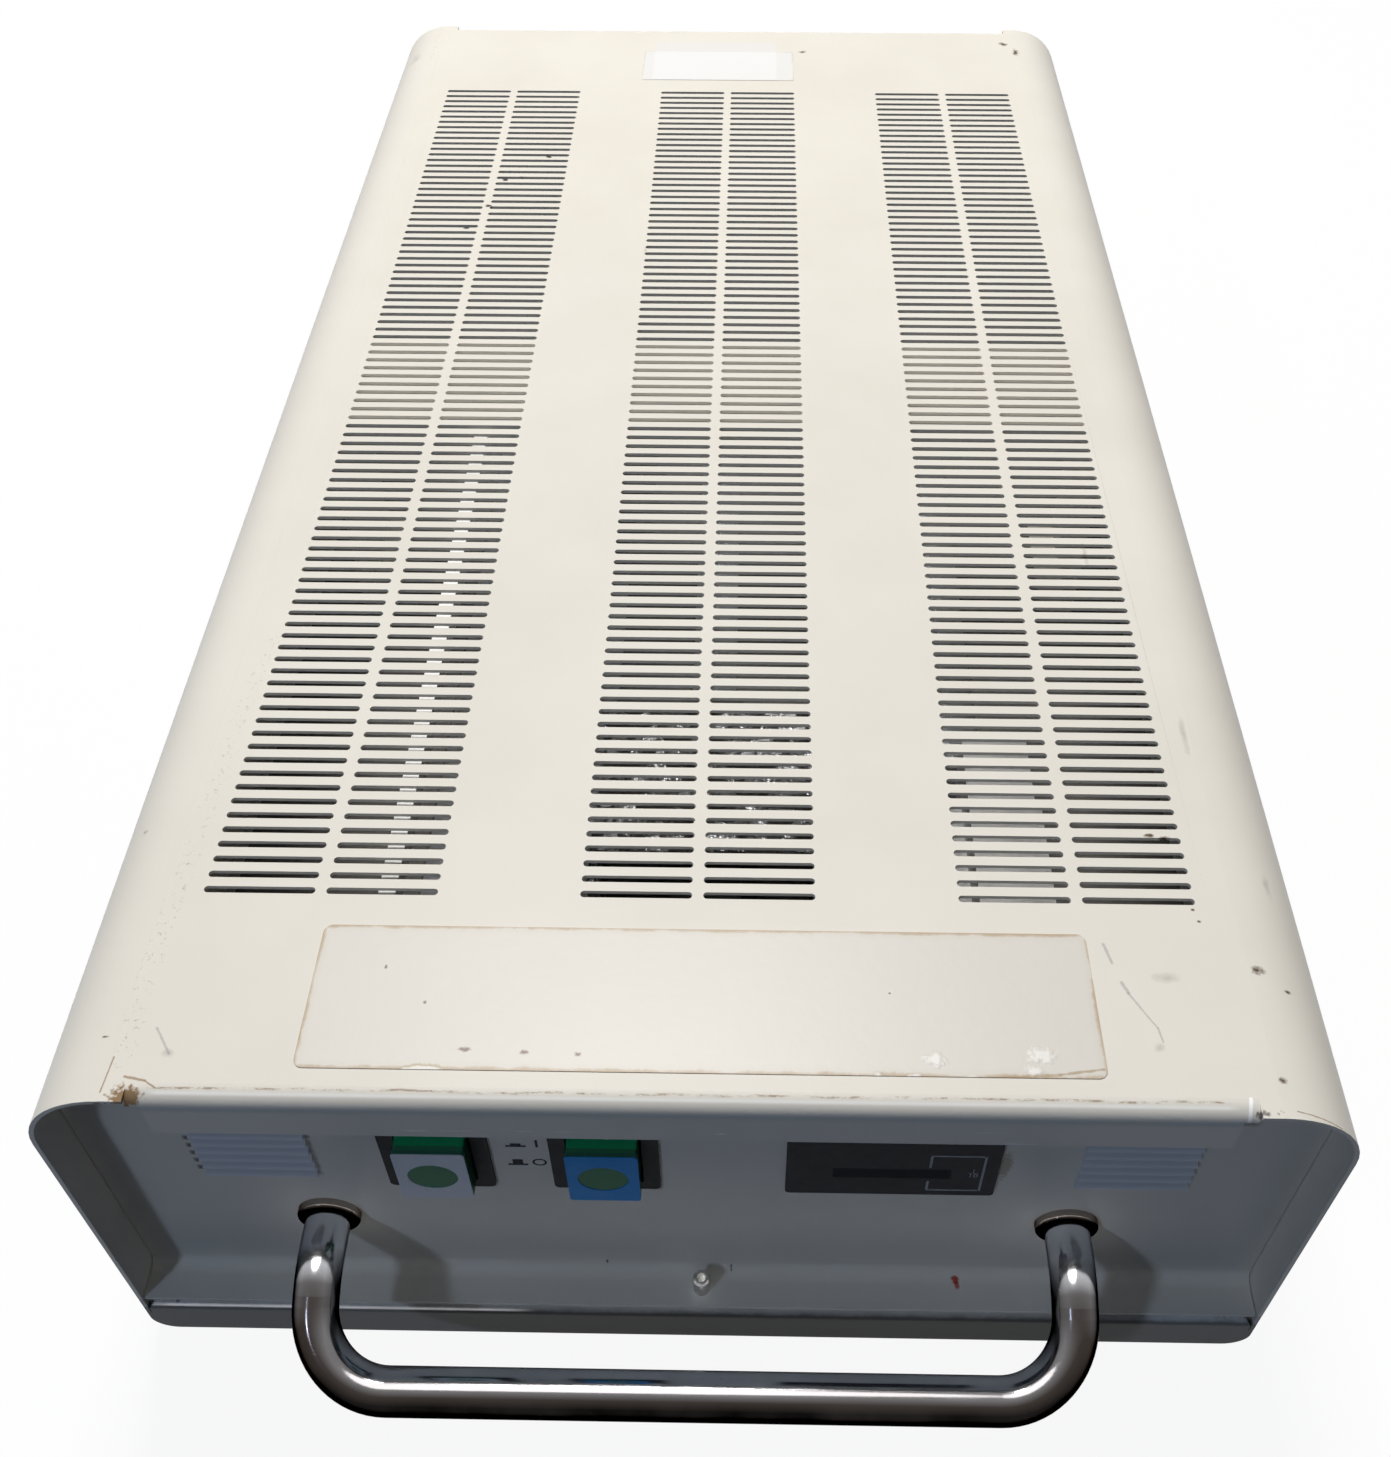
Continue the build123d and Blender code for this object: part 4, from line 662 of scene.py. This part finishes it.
INK_THICK = 0.06
BAR_X, BAR_Z, BAR_WIDE, BAR_TALL = -50.7, 120.6, 0.8, 4.8
RING_Z, RING_OUTER, RING_INNER = 107.6, 2.35, 1.7
LATCHES = [(-57.5, 118.7, 1.3), (-57.8, 105.9, 3.0)]
LATCH_WIDE, LATCH_BASE, LATCH_BOX = 6.5, 1.0, 3.4


def switch_marks(bm):
    """Latch symbols between the switches: a low and a high box on a base line, a bar and a ring."""
    for x, z, tall in LATCHES:
        add_slab(bm, box_points(x, z, LATCH_WIDE, LATCH_BASE), FACE, INK_THICK)
        add_slab(bm, box_points(x, z + (LATCH_BASE + tall) / 2, LATCH_BOX, tall), FACE, INK_THICK)
    add_slab(bm, box_points(BAR_X, BAR_Z, BAR_WIDE, BAR_TALL), FACE, INK_THICK)
    add_ring(bm, (BAR_X, RING_Z), RING_OUTER, RING_INNER, FACE, INK_THICK)


BRACKET_LEFT, BRACKET_RIGHT = 76.2, 93.6
BRACKET_LOW, BRACKET_HIGH = 93.9, 118.0
BRACKET_LINE = 0.8
RETURN_HIGH, RETURN_LOW = 8.0, 6.4
TENTHS_X, TENTHS_LINE_Z = 90.5, 106.3
TENTHS_LINE_WIDE, TENTHS_LINE_TALL = 3.2, 0.3


def meter_marks(bm):
    """Bracket round the tenths figure, open on its left, with two short returns."""
    middle, width = (BRACKET_LEFT + BRACKET_RIGHT) / 2, BRACKET_RIGHT - BRACKET_LEFT
    height = BRACKET_HIGH - BRACKET_LOW
    for x, z, wide, tall in (
            (middle, BRACKET_HIGH, width, BRACKET_LINE),
            (middle, BRACKET_LOW, width, BRACKET_LINE),
            (BRACKET_RIGHT, (BRACKET_LOW + BRACKET_HIGH) / 2, BRACKET_LINE, height + BRACKET_LINE),
            (BRACKET_LEFT, BRACKET_HIGH - RETURN_HIGH / 2, BRACKET_LINE, RETURN_HIGH),
            (BRACKET_LEFT, BRACKET_LOW + RETURN_LOW / 2, BRACKET_LINE, RETURN_LOW),
            (TENTHS_X, TENTHS_LINE_Z, TENTHS_LINE_WIDE, TENTHS_LINE_TALL)):
        add_slab(bm, box_points(x, z, wide, tall), METER_FACE, INK_THICK)


def figures(text, size, transform):
    """Flat text turned into a mesh and placed by a matrix in metres."""
    curve = bpy.data.curves.new("figure", "FONT")
    curve.body = text
    curve.size = size * MM
    curve.align_x = "CENTER"
    curve.align_y = "CENTER"
    curve.extrude = INK_THICK * MM / 2
    holder = bpy.data.objects.new("figure_text", curve)
    mesh = bpy.data.meshes.new_from_object(holder)
    bpy.data.objects.remove(holder)
    bpy.data.curves.remove(curve)
    mesh.transform(transform)
    return mesh


TENTHS_SIZE = 3.4
TENTHS_FIGURES = [("meter_one", "1", 107.9), ("meter_ten", "10", 104.5)]


def meter_figures(material):
    """Small one over ten beside the window."""
    turn = Matrix.Rotation(math.radians(90), 4, "X")
    for name, text, z in TENTHS_FIGURES:
        place = Matrix.Translation(Vector((TENTHS_X, METER_FACE - INK_THICK / 2, z)) * MM)
        mesh = figures(text, TENTHS_SIZE, place @ turn)
        piece(name, mesh, material, "lamp_head")


DRUM_COUNT, DRUM_PITCH, DRUM_MIDDLE = 6, 6.2, 64.1
DRUM_RADIUS = 5.6
DRUM_FIGURE = 4.2
WINDOW_THICK, WINDOW_GAP = 1.2, 0.5
DRUM_Y = METER_FACE + WINDOW_THICK + WINDOW_GAP + DRUM_RADIUS
DRUM_Z = 105.3


def drum_figures(material):
    """Ten figures round each drum, nought at the window."""
    upright = Matrix.Rotation(math.radians(90), 4, "X")
    out = Matrix.Translation(Vector((0, -DRUM_RADIUS - INK_THICK / 2, 0)) * MM)
    for drum in range(DRUM_COUNT):
        x = DRUM_MIDDLE + (drum - (DRUM_COUNT - 1) / 2) * DRUM_PITCH
        place = Matrix.Translation(Vector((x, DRUM_Y, DRUM_Z)) * MM)
        bm = bmesh.new()
        for value in range(10):
            turn = Matrix.Rotation(math.radians(36.0 * value), 4, "X")
            mesh = figures(str(value), DRUM_FIGURE, place @ turn @ out @ upright)
            bm.from_mesh(mesh)
            bpy.data.meshes.remove(mesh)
        mesh = bpy.data.meshes.new(f"drum_figures_{drum + 1}")
        bm.to_mesh(mesh)
        bm.free()
        piece(f"drum_figures_{drum + 1}", mesh, material, f"drum_{drum + 1}")


def add_marks():
    """Switch symbols in dark ink, the meter's marks and figures in pale ink."""
    dark = plain("mark_ink", (0.02, 0.02, 0.024), 0.5, bump=0.1, Specular_IOR_Level=0.02)
    pale = plain("pale_ink", (0.42, 0.43, 0.44), 0.5, bump=0.1, Specular_IOR_Level=0.02)
    build("switch_marks", switch_marks, dark, "lamp_head")
    build("meter_marks", meter_marks, pale, "lamp_head")
    meter_figures(pale)
    drum_figures(pale)


# Floor, lamps of the studio and the world

def make_floor():
    """White floor that keeps a faint shadow and throws little light up at the object."""
    mesh = bpy.data.meshes.new("floor")
    half = FLOOR_HALF
    mesh.from_pydata([(x, y, -FLOOR_DROP) for x, y in ((-half, -half), (half, -half), (half, half),
                                                       (-half, half))], [], [(0, 1, 2, 3)])
    obj = bpy.data.objects.new("floor", mesh)
    bpy.context.scene.collection.objects.link(obj)
    material = bpy.data.materials.new("floor")
    material.use_nodes = True
    tree = material.node_tree
    tree.nodes.clear()
    out = tree.nodes.new("ShaderNodeOutputMaterial")
    seen = tree.nodes.new("ShaderNodeMixShader")
    seen.inputs[0].default_value = FLOOR_GLOW
    pale = tree.nodes.new("ShaderNodeBsdfDiffuse")
    pale.inputs[0].default_value = (0.9, 0.9, 0.9, 1)
    glow = tree.nodes.new("ShaderNodeEmission")
    glow.inputs[0].default_value = (1, 1, 1, 1)
    tree.links.new(pale.outputs[0], seen.inputs[1])
    tree.links.new(glow.outputs[0], seen.inputs[2])
    other = tree.nodes.new("ShaderNodeBsdfDiffuse")
    other.inputs[0].default_value = (0.025, 0.03, 0.04, 1)
    pick = tree.nodes.new("ShaderNodeMixShader")
    tree.links.new(ray_share(tree), pick.inputs[0])
    tree.links.new(other.outputs[0], pick.inputs[1])
    tree.links.new(seen.outputs[0], pick.inputs[2])
    tree.links.new(pick.outputs[0], out.inputs[0])
    mesh.materials.append(material)


def ray_share(tree):
    """One for camera, glossy and transmission rays, nought for the rest."""
    path = tree.nodes.new("ShaderNodeLightPath")
    first = tree.nodes.new("ShaderNodeMath")
    first.operation = "MAXIMUM"
    second = tree.nodes.new("ShaderNodeMath")
    second.operation = "MAXIMUM"
    tree.links.new(path.outputs["Is Camera Ray"], first.inputs[0])
    tree.links.new(path.outputs["Is Glossy Ray"], first.inputs[1])
    tree.links.new(first.outputs[0], second.inputs[0])
    tree.links.new(path.outputs["Is Transmission Ray"], second.inputs[1])
    return second.outputs[0]


def make_world():
    """White to the camera and in reflections, a weak bluish light to everything else."""
    world = bpy.data.worlds.new("world")
    bpy.context.scene.world = world
    world.use_nodes = True
    tree = world.node_tree
    tree.nodes.clear()
    out = tree.nodes.new("ShaderNodeOutputWorld")
    soft = tree.nodes.new("ShaderNodeBackground")
    soft.inputs[0].default_value = (0.63, 0.80, 1.12, 1)
    soft.inputs[1].default_value = 0.065
    white = tree.nodes.new("ShaderNodeBackground")
    white.inputs[0].default_value = (1, 1, 1, 1)
    white.inputs[1].default_value = 1.0
    pick = tree.nodes.new("ShaderNodeMixShader")
    tree.links.new(ray_share(tree), pick.inputs[0])
    tree.links.new(soft.outputs[0], pick.inputs[1])
    tree.links.new(white.outputs[0], pick.inputs[2])
    tree.links.new(pick.outputs[0], out.inputs[0])


def lamp(name, place, aim, size, power, colour):
    """Oval area lamp; size is its width and depth."""
    data = bpy.data.lights.new(name, "AREA")
    data.shape = "ELLIPSE"
    data.size, data.size_y = size
    data.energy = power
    data.color = colour
    obj = bpy.data.objects.new(name, data)
    obj.location = place
    obj.rotation_euler = (Vector(aim) - Vector(place)).to_track_quat("-Z", "Y").to_euler()
    bpy.context.scene.collection.objects.link(obj)
    return obj


make_camera()
bpy.context.scene.view_settings.view_transform = "Standard"
make_floor()
make_world()
lamp("key", (-0.2, 0.86, 2.7), (0, 0.2, 0.15), (0.9, 0.9), 84.0, (1.0, 0.98, 0.95))
lamp("fill", (-1.58, -2.13, 1.95), (0, -0.3, 0.05), (0.2, 0.2), 10.5, (0.62, 0.80, 1.14))
strip = lamp("strip", (-0.5, -0.2, 2.6), (-0.5, -0.2, 0), (2.0, 1.2), 34.0, (1.0, 0.98, 0.96))
strip.visible_diffuse = False
dress_nodes(make_materials())
add_marks()
